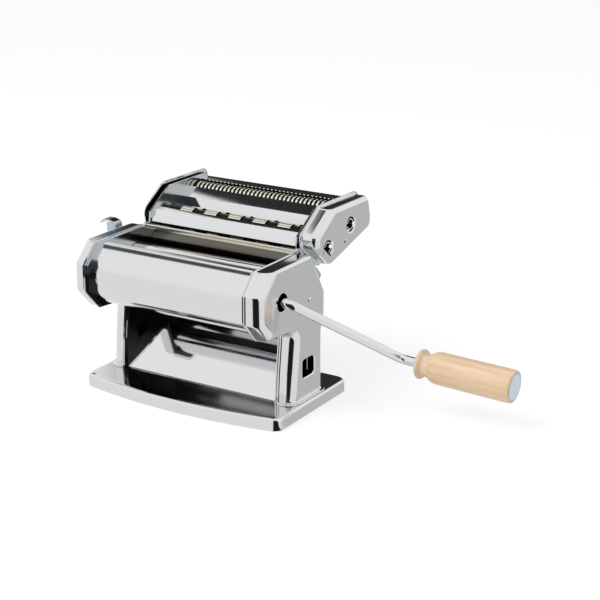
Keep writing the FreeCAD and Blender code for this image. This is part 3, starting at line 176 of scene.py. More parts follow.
def turnedBeech():
    # Steamed beech, turned and waxed: warm tan, short dark ray flecks 2 to 3 mm long, grain along the grip,
    # whose axis droops by about two degrees
    material, tree, surface = newMaterial("WaxedBeech", {"Roughness": 0.42, "IOR": 1.5, "Coat Weight": 0.05,
                                                         "Coat Roughness": 0.25})
    turn = (0, radians(-2.07), 0)
    grain = addNode(tree, "TexNoise", {"Scale": 1.0, "Detail": 6.0, "Roughness": 0.55},
                    {"Vector": objectPlace(tree, (22.0, 210.0, 210.0), turn)})
    fleck = addNode(tree, "TexVoronoi", {"Scale": 1.0, "Randomness": 1.0},
                    {"Vector": objectPlace(tree, (260.0, 1400.0, 1400.0), turn)})
    rings = addNode(tree, "TexWave", {"bands_direction": "Y", "Scale": 1.0, "Distortion": 2.2,
                                      "Detail": 2.0}, {"Vector": objectPlace(tree, (9.0, 55.0, 34.0))})
    tone = addNode(tree, "ValToRGB", links={"Fac": grain.outputs["Fac"]})
    for stop, position, colour in zip(tone.color_ramp.elements, (0.3, 0.72), ("#BDA183", "#CCB79E")):
        stop.position = position
        stop.color = linear(colour)
    band = addNode(tree, "MapRange", {4: 0.5}, {0: rings.outputs["Fac"]})
    banded = addNode(tree, "MixRGB", {"blend_type": "MULTIPLY", "Color2": linear("#F6ECE0")},
                     {"Fac": band, "Color1": tone})
    specks = addNode(tree, "MapRange", {1: 0.02, 2: 0.22, 3: 0.3, 4: 0.0}, {0: fleck.outputs["Distance"]})
    wood = addNode(tree, "MixRGB", {"Color2": linear("#8F6E50")}, {"Fac": specks, "Color1": banded})
    bump = addNode(tree, "Bump", {"Strength": 0.5, "Distance": 0.05 * millimetre},
                   {"Height": grain.outputs["Fac"]})
    shine = addNode(tree, "MapRange", {3: 0.36, 4: 0.5}, {0: grain.outputs["Fac"]})
    for socket, source in (("Base Color", wood), ("Normal", bump), ("Roughness", shine)):
        tree.links.new(source.outputs[0], surface.inputs[socket])
    return material


def mouldedPlastic(name, colour, roughness, texture):
    # Injection-moulded plastic or rubber: one colour, a fine grit of the mould about 0.5 mm wide, and shine
    # that varies a little over about 17 mm. texture: the grit's height, in mm
    material, tree, surface = newMaterial(name, {"Base Color": linear(colour), "Roughness": roughness,
                                                 "IOR": 1.5})
    fine = addNode(tree, "TexNoise", {"Scale": 1800.0, "Detail": 2.0}, {"Vector": objectPlace(tree)})
    wide = addNode(tree, "TexNoise", {"Scale": 60.0, "Detail": 3.0}, {"Vector": objectPlace(tree)})
    bump = addNode(tree, "Bump", {"Strength": 0.6, "Distance": texture * millimetre},
                   {"Height": fine.outputs["Fac"]})
    tree.links.new(bump.outputs[0], surface.inputs["Normal"])
    shine = addNode(tree, "MapRange", {3: roughness - 0.05, 4: roughness + 0.08}, {0: wide.outputs["Fac"]})
    tree.links.new(shine.outputs[0], surface.inputs["Roughness"])
    return material


beech = turnedBeech()
paleCap = mouldedPlastic("PaleMouldedCap", "#B9C6D2", 0.38, 0.02)  # polypropylene disc in the grip's end
blackPlastic = mouldedPlastic("BlackMouldedNylon", "#17181A", 0.34, 0.03)  # knob of glass-filled nylon
scraperPlastic = mouldedPlastic("AcetalScraper", "#2A2926", 0.4, 0.02)  # black acetal strips and combs
footRubber = mouldedPlastic("BlackFootRubber", "#1B1B1C", 0.7, 0.05)  # moulded rubber foot

slotFinish = {
    "chrome_sheet": chrome, "zinc_plate": zinc, "roller_steel": rollerSteel, "cutter_steel": cutterSteel,
    "gear_steel": gearSteel, "bush_bronze": bronze, "fastener_steel": fastenerSteel,
    "spring_steel": springSteel, "beech": beech, "pale_plastic": paleCap, "black_plastic": blackPlastic,
    "scraper_plastic": scraperPlastic, "foot_rubber": footRubber,
}

for subpart in frame["record"]["subparts"]:
    node = frame["nodes"][subpart["node"]]
    node.data.materials.clear()
    node.data.materials.append(slotFinish[subpart["material_slot"]])
print("finishes made:", len(slotFinish))


# Mesh helpers: grids, outlines and profiles, all as whole arrays

meshing = {"merge": 0.002, "sharpAngle": 32}


def weave(rows, columns):
    # The four-sided faces between closed rings of points, whose number is row times columns plus column
    row = np.repeat(np.arange(rows - 1), columns)
    column = np.tile(np.arange(columns), rows - 1)
    here, below = row * columns, (row + 1) * columns
    beside = (column + 1) % columns
    return np.stack([here + column, here + beside, below + beside, below + column], 1).tolist()


def makePiece(name, patches, finish, body, replaced):
    # patches: (points, faces) or (points, faces, share of painted shade), which are joined where their
    # points meet
    points = np.concatenate([patch[0] for patch in patches]) * millimetre
    faces, paintedShade = [], []
    start = 0
    for patch in patches:
        faces += [[start + int(corner) for corner in face] for face in patch[1]]
        paintedShadeShare = np.array(patch[2] if len(patch) > 2 else 0.0, float)
        paintedShade.append(np.broadcast_to(paintedShadeShare, (len(patch[1]),)))
        start += len(patch[0])
    mesh = bpy.data.meshes.new(name)
    mesh.from_pydata(points.tolist(), [], faces)
    mesh.attributes.new("paintedShade", "FLOAT", "FACE").data.foreach_set("value", np.concatenate(paintedShade))
    work = bmesh.new()
    work.from_mesh(mesh)
    bmesh.ops.remove_doubles(work, verts=work.verts, dist=meshing["merge"] * millimetre)
    bmesh.ops.dissolve_degenerate(work, edges=work.edges, dist=meshing["merge"] * millimetre)
    bmesh.ops.recalc_face_normals(work, faces=work.faces)
    work.to_mesh(mesh)
    work.free()
    mesh.shade_smooth()
    mesh.set_sharp_from_angle(angle=radians(meshing["sharpAngle"]))
    mesh.materials.append(finish)
    piece = bpy.data.objects.new(name, mesh)
    bpy.context.scene.collection.objects.link(piece)
    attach(piece, body)
    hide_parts(*replaced)


def unit(vectors):  # the same directions with length one
    return vectors / np.linalg.norm(vectors, axis=-1, keepdims=True)


def fullTurn(count):  # equal angles round a circle
    return np.linspace(0, 2 * pi, count, endpoint=False)


def onCircle(angle):  # points of a circle of radius one
    return np.column_stack([np.cos(angle), np.sin(angle)])


def arcs(before, corner, after, radius, steps):
    # Each corner becomes an arc that touches both sides. Its centre is corner - side x (radius x tangent of
    # half the turn) + normal x radius, and its spoke turns in steps
    back, run = unit(corner - before), unit(after - corner)
    turn = back[:, 0] * run[:, 1] - back[:, 1] * run[:, 0]
    angle = np.arctan2(turn, (back * run).sum(1))
    side = np.sign(angle)
    left = np.stack([-back[:, 1], back[:, 0]], 1)
    centre = corner - back * (radius * np.tan(np.abs(angle) / 2))[:, None] + left * (side * radius)[:, None]
    spoke = -left * (side * radius)[:, None]
    swing = angle[:, None] * np.linspace(0, 1, steps + 1)[None, :]
    turned = np.stack([spoke[:, :1] * np.cos(swing) - spoke[:, 1:] * np.sin(swing),
                       spoke[:, :1] * np.sin(swing) + spoke[:, 1:] * np.cos(swing)], 2)
    return (centre[:, None, :] + turned).reshape(-1, 2)


def outline(corners, inset, radius, steps=8, growth=(-0.45, 0.0)):
    # A closed outline with its sides moved inwards, all by one inset or each by its own, and its corners
    # rounded. growth: what an outer corner's radius gains for each millimetre moved inwards, and outwards.
    # A moved corner is mean inset x (sum of both normals) / (1 + cosine) + half the insets' difference x
    # (difference of the normals) / (1 - cosine). A corner that points inwards keeps a radius that grows.
    here = np.array(corners, float)
    inset = np.broadcast_to(np.asarray(inset, float), (len(here),))
    ahead = np.roll(here, -1, 0)
    area = (here[:, 0] * ahead[:, 1] - ahead[:, 0] * here[:, 1]).sum()
    run = unit(ahead - here)
    inward = np.sign(area) * np.stack([-run[:, 1], run[:, 0]], 1)
    earlier = np.roll(inward, 1, 0)
    cosine = (inward * earlier).sum(1)
    mean = (np.roll(inset, 1) + inset) / 2
    half = (np.roll(inset, 1) - inset) / 2
    moved = (here + (mean / (1 + cosine))[:, None] * (earlier + inward)
             + (half / np.maximum(1 - cosine, 1e-9))[:, None] * (earlier - inward))
    back = np.roll(run, 1, 0)
    convex = np.sign(area) * (back[:, 0] * run[:, 1] - back[:, 1] * run[:, 0]) > 0
    radii = np.broadcast_to(np.asarray(radius, float), (len(here),))
    outer = radii + np.maximum(mean, 0) * growth[0] + np.maximum(-mean, 0) * growth[1]
    radii = np.where(convex, np.maximum(outer, 0.0), radii + mean)
    return arcs(np.roll(moved, 1, 0), moved, np.roll(moved, -1, 0), radii, steps)


def bentLine(points, radius, steps=6):
    # An open line with its inner corners rounded
    line = np.array(points, float)
    middle = arcs(line[:-2], line[1:-1], line[2:], np.full(len(line) - 2, float(radius)), steps)
    return np.concatenate([line[:1], middle, line[-1:]])


def thickened(line, thickness):
    # The closed outline of a sheet: its line, and the same line moved to its left by the thickness
    run = unit(np.gradient(line, axis=0))
    left = np.stack([-run[:, 1], run[:, 0]], 1)
    return np.concatenate([line, (line + left * thickness)[::-1]])


def inSpace(flat, x):  # points of the plane across the rollers, set at x
    return np.column_stack([np.full(len(flat), float(x)), flat])


def atHeight(flat, z):  # points of a level plane, set at a height
    return np.column_stack([flat, np.full(len(flat), float(z))])


def cap(loops):  # flat faces inside the first loop and outside the others
    faces = tessellate_polygon([loop.tolist() for loop in loops])
    return np.concatenate(loops), [list(face) for face in faces]


def sleeve(loops):  # the surface between rings of equal count
    return np.concatenate(loops), weave(len(loops), len(loops[0]))


def closed(loops):  # the same surface with its first and its last ring filled
    return [sleeve(loops), cap([loops[0]]), cap([loops[-1]])]


def alongX(profile, start, end):  # a closed profile carried along X, with both ends closed
    return closed([inSpace(profile, start), inSpace(profile, end)])


def turned(profile, centre=(0.0, 0.0), segments=96, droop=0.0, origin=None):
    # A profile of (place along the axis, radius) turned about an axis along X, or one that droops from it
    line = np.array(profile, float)
    along = np.repeat(line[:, 0], segments)
    radius = np.repeat(line[:, 1], segments)
    around = np.tile(fullTurn(segments), len(line))
    points = np.column_stack([along, radius * np.cos(around), radius * np.sin(around)])
    if origin is not None:
        tilt = radians(droop)
        points = np.column_stack([points[:, 0] * cos(tilt) + points[:, 2] * sin(tilt), points[:, 1],
                                  points[:, 2] * cos(tilt) - points[:, 0] * sin(tilt)]) + np.array(origin)
    else:
        points[:, 1:] += np.array(centre)
    return [(points, weave(len(line), segments))]


def ring(centre, radius, x, segments=48):  # points of a circle round an axis along X
    return inSpace(centre + radius * onCircle(fullTurn(segments)), x)


# Stand: the base tray

baseTray = {
    "halfWidth": 100.0, "frontCorner": -55.0, "frontMiddle": -65.8, "back": 56.0, "corner": 9.0,
    "top": 11.6, "bottom": 0.8, "rim": 2.6, "wall": 1.0, "lean": 0.15, "flange": 2.0,
    "stops": 41, "steps": 10,
}


def makeBaseTray():
    # The front edge is one arc; rings of the outline run from the underside out over the rim to the top.
    # Over the rim, height = top - rim + rim x sine and inset = lean + rim - rim x cosine of the swing
    tray = baseTray
    half, rise = tray["halfWidth"], tray["frontCorner"] - tray["frontMiddle"]
    radius = (half ** 2 + rise ** 2) / (2 * rise)
    across = np.linspace(-half, half, tray["stops"])
    bow = tray["frontMiddle"] + radius - np.sqrt(radius ** 2 - across ** 2)
    behind = [(half, tray["back"]), (-half, tray["back"])]
    corners = np.concatenate([np.column_stack([across, bow]), behind])
    radii = np.zeros(len(corners))
    radii[[0, -3, -2, -1]] = tray["corner"]
    top, bottom, rim, wall = tray["top"], tray["bottom"], tray["rim"], tray["wall"]
    stations = [(top - wall, rim + tray["flange"]), (top - wall, rim), (top - rim, wall),
                (bottom + 1.2, wall), (bottom, wall * 0.8), (bottom, wall * 0.3), (bottom + 0.4, 0.0)]
    stations += [(top - rim + rim * sin(angle), tray["lean"] + rim - rim * cos(angle))
                 for angle in np.linspace(0, pi / 2, 9)]
    stations += [(top, rim + tray["flange"])]
    loops = [atHeight(outline(corners, inset, radii, tray["steps"]), height) for height, inset in stations]
    makePiece("BaseTray", closed(loops), drawnChrome, "stand", ["base_plate"])


makeBaseTray()


# Stand: the side covers, one deep-drawn shell on each side

# What the covers of the stand and of the cutter head share: sheet, how far a lip stands off its frame, the
# lip's thickness and the rounding of its rim, the flat border of a face, and the least straight wall
shell = {"wall": 0.9, "lift": 0.05, "lipWall": 1.0, "lipEdge": 0.3, "border": 1.5, "straight": 2.0}
sideCover = {
    "corners": [(-26.6, 0.0), (-24.0, 37.7), (-19.5, 74.0), (-56.8, 76.6), (-73.4, 94.0), (-73.4, 117.4),
                (-57.4, 133.8), (7.2, 133.8), (28.0, 98.6), (28.0, 77.5), (23.2, 64.0), (23.2, 0.0)],
    # Edge radius and lip of each side, from the leg's front round the nose and the top to the leg's back
    "edges": [9.0, 9.0, 7.0, 7.0, 9.5, 9.0, 3.0, 5.5, 5.5, 5.5, 5.5, 5.5],
    "lips": [3.5, 3.5, 1.0, 1.0, 3.5, 3.5, 1.0, 0.0, 3.0, 3.5, 3.5, 3.5],
    "corner": [8.0, 8.0, 8.0, 2.5, 2.5, 2.5, 2.5, 4.0, 4.0, 4.0, 8.0, 8.0], "growth": (0.3, 1.0),
    "root": 79.0, "face": 94.0, "floor": 11.75, "fillet": 2.0,
    "crank": ((-39.5, 105.7), 7.7), "regulator": ((-6.12, 105.7), 8.0),
    "window": [(-8.7, 30.4), (9.5, 30.4), (9.5, 46.3), (-8.7, 46.3)], "windowCorner": 3.0,
    # How much wider an opening is at each depth below the face
    "windowRim": [(1.3, 0.0), (0.9, 0.1), (0.3, 0.5), (0.0, 1.1), (0.0, 1.6)],
    "driveRim": [(0.3, 0.0), (0.0, 0.25), (0.0, 0.9)],
}
# The leg's sheet turned out on the base, set back a little from the leg's front
foot = {"wide": 3.4, "thick": 1.0, "fillet": 1.2, "rim": 0.3, "corners": [0.0, 9.0, 5.5, 0.0],
        "setBack": 0.8}


def shellLoops(size, face, side, place):
    # Rings of the outline from the inner face, out round the lip and over the rounded edge to the outer
    # face. Over an edge the inset is radius - square root of (radius^2 - depth^2), each side with its own
    edges, lips, root = np.array(size["edges"]), np.array(size["lips"]), size["root"]
    edges = edges * min(1.0, (face - root - shell["straight"]) / edges.max())
    deepest, wall, edge = edges.max(), shell["wall"], shell["lipEdge"]
    behind, front = root + shell["lift"], root + shell["lipWall"]
    rim = -np.maximum(lips - edge, 0)
    stations = [(face - wall, edges + shell["border"]), (face - wall, edges), (face - deepest, wall),
                (behind, wall), (behind, rim), (root + edge, -lips), (front - 0.2, -lips), (front, rim)]
    # A hollow fillet from lip to wall: inset -radius (1 - sine), x from the lip radius (1 - cosine)
    fillet = np.minimum(lips, size["fillet"])
    for angle in np.linspace(0, pi / 2, 7):
        stations.append((front + size["fillet"] * (1 - cos(angle)), -fillet * (1 - sin(angle))))
    for angle in np.linspace(0, pi / 2, 13):
        x = face - deepest + deepest * sin(angle)
        depth = np.clip(x - (face - edges), 0.0, edges)
        stations.append((x, edges - np.sqrt(edges ** 2 - depth ** 2)))
    stations.append((face, edges + shell["border"]))
    return [place(outline(size["corners"], inset, size["corner"], growth=size["growth"]), side * x)
            for x, inset in stations]


def rimRings(centre, radius, face, side, rim):  # the rings of a round opening, from the face inwards
    return [ring(centre, radius + grow, side * (face - sink)) for grow, sink in rim]


def standPlace(flat, x):  # points of a cover at x, none of them lower than the foot stands
    level = np.column_stack([flat[:, 0], np.maximum(flat[:, 1], sideCover["floor"])])
    return inSpace(level, x)


def footFlange(side):
    # Rings from the flange's underside out over its rim and up the fillet to the leg. Over the fillet,
    # height = top + fillet x (1 - cosine) and inset = fillet x (sine - 1) of the swing
    size = sideCover
    front, back = size["corners"][0][0] + foot["setBack"], size["corners"][-1][0]
    inner, outer = size["root"] + shell["lift"], size["face"]
    corners = [(inner, front), (outer, front), (outer, back), (inner, back)]
    low, wide, fillet = size["floor"], foot["wide"], foot["fillet"]
    top = low + foot["thick"]
    stations = [(low, -wide + 0.1), (low + 0.2, -wide), (top - foot["rim"], -wide),
                (top, -wide + foot["rim"])]
    for angle in np.linspace(0, pi / 2, 6):
        stations.append((top + fillet * (1 - cos(angle)), fillet * (sin(angle) - 1)))
    loops = []
    for height, inset in stations:
        flat = outline(corners, [inset, inset, inset, 0.0], [radius - inset for radius in foot["corners"]])
        loops.append(atHeight(flat * (side, 1), height))
    return [sleeve(loops)]


def makeSideCover(name, side, node, driveHole):
    # The two faces have the same openings, and a short sleeve joins each pair
    size, face = sideCover, sideCover["face"]
    loops = shellLoops(size, face, side, standPlace)
    drive = rimRings(*driveHole, face, side, size["driveRim"])
    window = [standPlace(outline(size["window"], -grow, size["windowCorner"]), side * (face - sink))
              for grow, sink in size["windowRim"]]
    # The inner wall and face get painted shade: near-black, as the shade inside the cover
    patches = [(*sleeve(loops[:4]), 1.0), sleeve(loops[3:]), (*cap([loops[0], drive[-1], window[-1]]), 1.0),
               cap([loops[-1], drive[0], window[0]]), sleeve(drive), sleeve(window)]
    makePiece(name, patches + footFlange(side), drawnChrome, "stand", [node])


makeSideCover("CoverRight", 1, "side_cover_right", sideCover["crank"])
makeSideCover("CoverLeft", -1, "side_cover_left", sideCover["regulator"])
print("stand covers made")


# Stand: the sheets between the two sides

frontHood = {
    "centre": (-39.5, 105.7), "radius": 28.5, "wall": 1.4, "half": 77.0, "hem": 1.3,
    # Runs of the arc, in degrees from the back over the top, each with its count of points
    "arc": [(107.5, 114.0, 14), (115.5, 268.0, 96)],
    "flat": [(107.5, -0.7), (113.0, 0.0)],  # the top edge lies a little flatter than the arc
    "roll": (25, 330, 24),  # the hem's own arc
}
sheets = {
    "RearGuide": {"line": [(6.4, 133.9), (6.9, 131.0), (8.0, 123.4), (8.6, 119.0), (14.6, 112.0),
                           (19.5, 103.0), (19.5, 79.0)],
                  "half": 76.9, "bend": 0.8, "hem": 1.0, "finish": guideSteel, "node": "rear_guide",
                  # Share of painted shade by the distance from the top edge: all but the top edge is dark,
                  # standing for shade
                  "paintedShadeReach": [(0.0, 0.0), (0.8, 0.72), (8.5, 0.8), (10.5, 1.0)]},
    "OutletChute": {"line": [(-23.5, 11.8), (14.0, 61.8), (16.0, 75.9)], "half": 76.8, "bend": 10.0,
                    "node": "outlet_chute"},
}


def innerSide(line, count):  # 1 for the faces on the far side of a sheet's closed outline, 0 for the others
    number = np.arange(count)
    return ((number >= len(line)) & (number < 2 * len(line) - 1)).astype(float)


def makeFrontHood():
    # An arc with a rolled hem: out along the arc, back inside it, and once round the hem
    hood = frontHood
    centre = np.array(hood["centre"])
    degrees = np.concatenate([np.linspace(*run) for run in hood["arc"]])
    angle = np.radians(degrees)
    ray = onCircle(angle)
    rise = np.interp(degrees, *zip(*hood["flat"]))
    outer = centre + ray * (hood["radius"] + rise)[:, None]
    inner = centre + ray[::-1] * (hood["radius"] - hood["wall"])
    middle = centre + ray[0] * (hood["radius"] + rise[0] - hood["hem"])
    roll = angle[0] - np.radians(np.linspace(*hood["roll"]))[::-1]
    hem = middle + hood["hem"] * onCircle(roll)
    profile = np.concatenate([outer, inner, hem[1:-1]])
    patches = alongX(profile, -hood["half"], hood["half"])
    # The inside of the arc gets painted shade: near-black, as the shade under the hood
    patches[0] = (*patches[0], innerSide(outer, len(profile)))
    makePiece("FrontHood", patches, drawnChrome, "stand", ["front_hood"])


def makeSheet(name, size, body="stand", place=lambda line: line):
    # A bent sheet, some with a rolled edge where their line starts; one side can carry painted shade,
    # near-black
    line = place(bentLine(size["line"], size["bend"]))
    patches = alongX(thickened(line, size.get("wall", 1.0)), -size["half"], size["half"])
    if size.get("paintedShadeBack"):
        patches[0] = (*patches[0], innerSide(line, 2 * len(line)))
    if "paintedShadeReach" in size:  # how much painted shade the sheet carries, by the distance from its first edge
        reach = np.concatenate([[0.0], np.cumsum(np.linalg.norm(np.diff(line, axis=0), axis=1))])
        patches[0] = (*patches[0], np.interp(np.concatenate([reach, reach[::-1]]), *zip(*size["paintedShadeReach"])))
    if "hem" in size:
        run = unit(line[1] - line[0])
        middle = line[0] + size["hem"] * np.array([-run[1], run[0]])
        patches += alongX(middle + size["hem"] * onCircle(fullTurn(24)), -size["half"], size["half"])
    makePiece(name, patches, size.get("finish", chrome), body, [size["node"]])


makeFrontHood()
for name, size in sheets.items():
    makeSheet(name, size)


# Rollers

smoothRollers = {
    "FrontRoller": {"centre": (-39.5, 105.7), "body": "front_roller", "node": "drive_roller",
                    "ends": (-82.0, 89.8), "socket": 4.06},
    "RearRoller": {"centre": (-5.0, 105.7), "body": "rear_roller", "node": "adjustable_roller",
                   "ends": (-82.5, 90.0), "socket": 0.0},
}
rollerBody = [(76.5, 7.0), (76.5, 15.5), (76.3, 15.9), (75.9, 16.0), (0.0, 16.0)]  # end to middle
rollerJournal = {"radius": 7.0, "edge": 0.3}
socketDepth = 18.3  # how far the crank goes in


def makeSmoothRoller(name, size):
    # Turned from one bar: journal, body with a slight edge radius, journal, and the crank's socket
    low, high = size["ends"]
    journal, edge = rollerJournal["radius"], rollerJournal["edge"]
    profile = [(low, 0.0), (low, journal - edge), (low + edge, journal)]
    profile += [(-place, radius) for place, radius in rollerBody] + rollerBody[-2::-1]
    profile += [(high - edge, journal), (high, journal - edge)]
    if size["socket"]:
        bottom = high - socketDepth
        profile += [(high, size["socket"]), (bottom, size["socket"]), (bottom, 0.0)]
    else:
        profile += [(high, 0.0)]
    makePiece(name, turned(profile, size["centre"], 128), rollerSteel, size["body"],
              [size["node"]])


for name, size in smoothRollers.items():
    makeSmoothRoller(name, size)
print("hood, sheets and rollers made")


# Crank: the bent rod and the turned grip

crank = {
    "points": [(72.0, -39.5, 105.7), (100.0, -39.5, 105.7), (158.0, 44.3, 43.8), (256.9356, 44.3, 40.2239)],
    "bend": 10.0, "bendSteps": 14, "radius": 4.0, "edge": 0.4, "tip": 0.01, "segments": 32,
}
# Lines of the turned grip: places from its start or from its end, both measured from the rod's bend, and
# radii. Bead, neck, shoulder, a body that swells to its end, and a recess for the cap.
grip = {
    "start": 16.4, "end": 102.3, "axis": {"segments": 72, "droop": 2.07, "origin": (158.0, 44.3, 43.8)},
    "mouth": [(0.4, 4.2), (0.0, 4.6)],
    "head": [(0.0, 9.6), (0.0, 10.8), (0.6, 12.0), (2.2, 12.8), (3.9, 12.2), (5.0, 10.7), (6.4, 9.9),
             (8.6, 9.7), (11.0, 10.6), (13.6, 12.3), (16.0, 13.4), (19.0, 13.7), (40.0, 13.7)],
    "tail": [(-20.0, 13.8), (-4.0, 13.8), (-1.2, 13.6), (-0.2, 12.9), (0.0, 11.9)],
    "recess": [(0.0, 11.4), (-1.4, 11.2), (-1.4, 8.0), (-9.0, 8.0), (-9.0, 4.2)],
    "cap": [(-1.4, 0.0), (-1.4, 11.15), (0.05, 11.15), (0.3, 10.9), (0.35, 10.4), (0.15, 9.6), (0.1, 9.0),
            (0.2, 4.0), (0.25, 0.0)],
}


def bentRun(points, radius, steps):
    # The centre line in space: straight runs joined by arcs that touch them
    line = np.array(points, float)
    runs = unit(np.diff(line, axis=0))
    angle = np.arccos((runs[:-1] * runs[1:]).sum(1))
    reach = radius * np.tan(angle / 2)
    inward = unit(runs[1:] - runs[:-1])
    centre = line[1:-1] + inward * (radius / np.cos(angle / 2))[:, None]
    spoke = line[1:-1] - runs[:-1] * reach[:, None] - centre
    swing = angle[:, None] * np.linspace(0, 1, steps + 1)[None, :]
    curve = (centre[:, None, :] + spoke[:, None, :] * np.cos(swing)[:, :, None]
             + runs[:-1, None, :] * radius * np.sin(swing)[:, :, None])
    return np.concatenate([line[:1], curve.reshape(-1, 3), line[-1:]])


def tube(line, radii, segments):
    # Circles square to the line: centre + radius x (side x cosine + other x sine). Both sides come from one
    # direction that the rod never takes, so that the tube doesn't twist
    run = unit(np.gradient(line, axis=0))
    side = unit(np.cross(run, (0.0, 0.55, 0.83)))
    other = np.cross(run, side)
    angle = fullTurn(segments)
    circle = (side[:, None, :] * np.cos(angle)[None, :, None]
              + other[:, None, :] * np.sin(angle)[None, :, None])
    points = line[:, None, :] + circle * np.asarray(radii)[:, None, None]
    return points.reshape(-1, 3), weave(len(line), segments)


def makeCrankRod():
    # The end rings stand close together, so that each end is flat with a small rounding
    size = crank
    line = bentRun(size["points"], size["bend"], size["bendSteps"])
    first, last = unit(line[1] - line[0]), unit(line[-1] - line[-2])
    tip, edge = size["tip"], size["edge"]
    full = np.concatenate([line[:1], [line[0] + first * tip, line[0] + first * edge], line[1:-1],
                           [line[-1] - last * edge, line[-1] - last * tip], line[-1:]])
    radii = np.full(len(full), size["radius"])
    radii[[0, -1]] = 0.0
    radii[[1, -2]] = size["radius"] - edge
    patches = [tube(full, radii, size["segments"])]
    makePiece("CrankRod", patches, chrome, "crank", ["crank_rod"])


def smoothed(profile):
    # Cuts each corner of a profile at a quarter of its sides, twice, which rounds the turned shape
    line = np.array(profile, float)
    for _ in range(2):
        cut = np.stack([line[:-1] * 0.75 + line[1:] * 0.25, line[:-1] * 0.25 + line[1:] * 0.75], 1)
        line = np.concatenate([line[:1], cut.reshape(-1, 2), line[-1:]])
    return line


def makeGrip():
    # Both are turned about the drooping axis of the rod's end
    size = grip
    mouth, head = (np.array(size[key]) + (size["start"], 0.0) for key in ("mouth", "head"))
    tail, recess, lid = (np.array(size[key]) + (size["end"], 0.0) for key in ("tail", "recess", "cap"))
    profile = np.concatenate([mouth, smoothed(np.concatenate([head, tail])), recess, mouth[:1]])
    makePiece("BeechGrip", turned(profile, **size["axis"]), beech, "grip", ["wooden_grip"])
    makePiece("GripEndCap", turned(lid, **size["axis"]), paleCap, "grip", ["grip_end_cap"])


makeCrankRod()
makeGrip()
print("crank made")


# Regulator on the left: knob, cap and thumb lever

knob = {
    "centre": (-6.12, 105.7), "radius": 17.0, "face": 14.9, "flutes": 30, "depth": 0.7, "start": -98.0,
    "end": -110.0,
    # Place from the start, share of the radius and share of the flutes' depth, from the stand outwards
    "rows": [(0.0, 0.0, 0.0), (0.0, 0.93, 0.0), (0.4, 0.975, 0.0), (1.2, 1.0, 0.35), (2.6, 1.0, 1.0),
             (6.0, 1.0, 1.0), (9.4, 1.0, 1.0), (10.8, 1.0, 0.35), (11.6, 0.975, 0.0), (12.0, 0.93, 0.0),
             (12.0, 0.9, 0.0)],
    "cap": [(-110.0, 0.0), (-110.0, 15.5), (-111.0, 15.5), (-111.4, 15.1), (-111.5, 14.5), (-111.5, 13.0),
            (-111.2, 12.7), (-111.2, 0.0)],
}


def makeKnob():
    # Radius = knob radius x the row's share - flute depth x ((1 + cosine of flutes x angle) / 2) squared
    size = knob
    segments = size["flutes"] * 8
    stops, scale, depth = np.array(size["rows"]).T
    angle = fullTurn(segments)
    flute = (1 + np.cos(angle * size["flutes"])) / 2
    radius = size["radius"] * scale[:, None] - (depth * size["depth"])[:, None] * flute[None, :] ** 2
    y, z = size["centre"]
    points = np.stack([np.broadcast_to(size["start"] - stops[:, None], radius.shape),
                       y + radius * np.cos(angle), z + radius * np.sin(angle)], 2)
    last = ring(size["centre"], size["face"], size["end"] + 0.001, segments)
    patches = [sleeve(points), sleeve([points[-1], last]), cap([last])]
    makePiece("RegulatorKnob", patches, blackPlastic, "knob", ["regulator_knob"])
    patches = turned(size["cap"], size["centre"])
    makePiece("KnobCap", patches, blackPlastic, "knob", ["knob_cap"])


lever = {
    "half": 4.5, "middle": -5.6, "wall": 1.4, "bend": 2.2, "bendSteps": 8,
    # Places along X and heights above the knob's axis: the bent strip, and the cheek on either side of it
    "strip": [(-97.9, -7.0), (-97.9, 30.0), (-104.0, 31.5), (-109.6, 31.4), (-112.9, 28.6)],
    "cheek": [(-98.3, 18.0), (-98.3, 29.6), (-104.0, 30.6), (-106.4, 30.4), (-106.4, 24.0), (-104.6, 19.0)],
    "cheekWall": 1.2,
    "hub": [(-97.8, 5.1), (-97.8, 9.4), (-96.3, 9.4), (-96.3, 5.1), (-97.8, 5.1)],
    "pin": [(-106.9, 0.0), (-106.9, 1.4), (-105.6, 1.6), (-98.4, 1.6), (-98.4, 0.0)],
    "pinPlace": (0.5, 24.0),
}


def alongY(profile, start, end):  # a closed profile of X and height carried along Y, with both ends closed
    return closed([np.column_stack([profile[:, 0], np.full(len(profile), y), profile[:, 1]])
                   for y in (start, end)])


def makeLever():
    # A strip from the hub up the knob's inner side, bent outwards over it and curled down at its tip
    size, centre = lever, np.array(knob["centre"])
    strip, cheek = (np.array(size[key]) + (0.0, centre[1]) for key in ("strip", "cheek"))
    low, high = size["middle"] - size["half"], size["middle"] + size["half"]
    patches = alongY(thickened(bentLine(strip, size["bend"], size["bendSteps"]), -size["wall"]), low, high)
    for start in (low, high - size["cheekWall"]):
        patches += alongY(cheek, start, start + size["cheekWall"])
    patches += turned(size["hub"], centre, 48) + turned(size["pin"], centre + size["pinPlace"], 24)
    makePiece("ThumbLever", patches, blueZinc, "knob", ["regulator_lever"])


makeKnob()
makeLever()
print("regulator made")


# Cutter head: drawn level, then tilted about its first axis

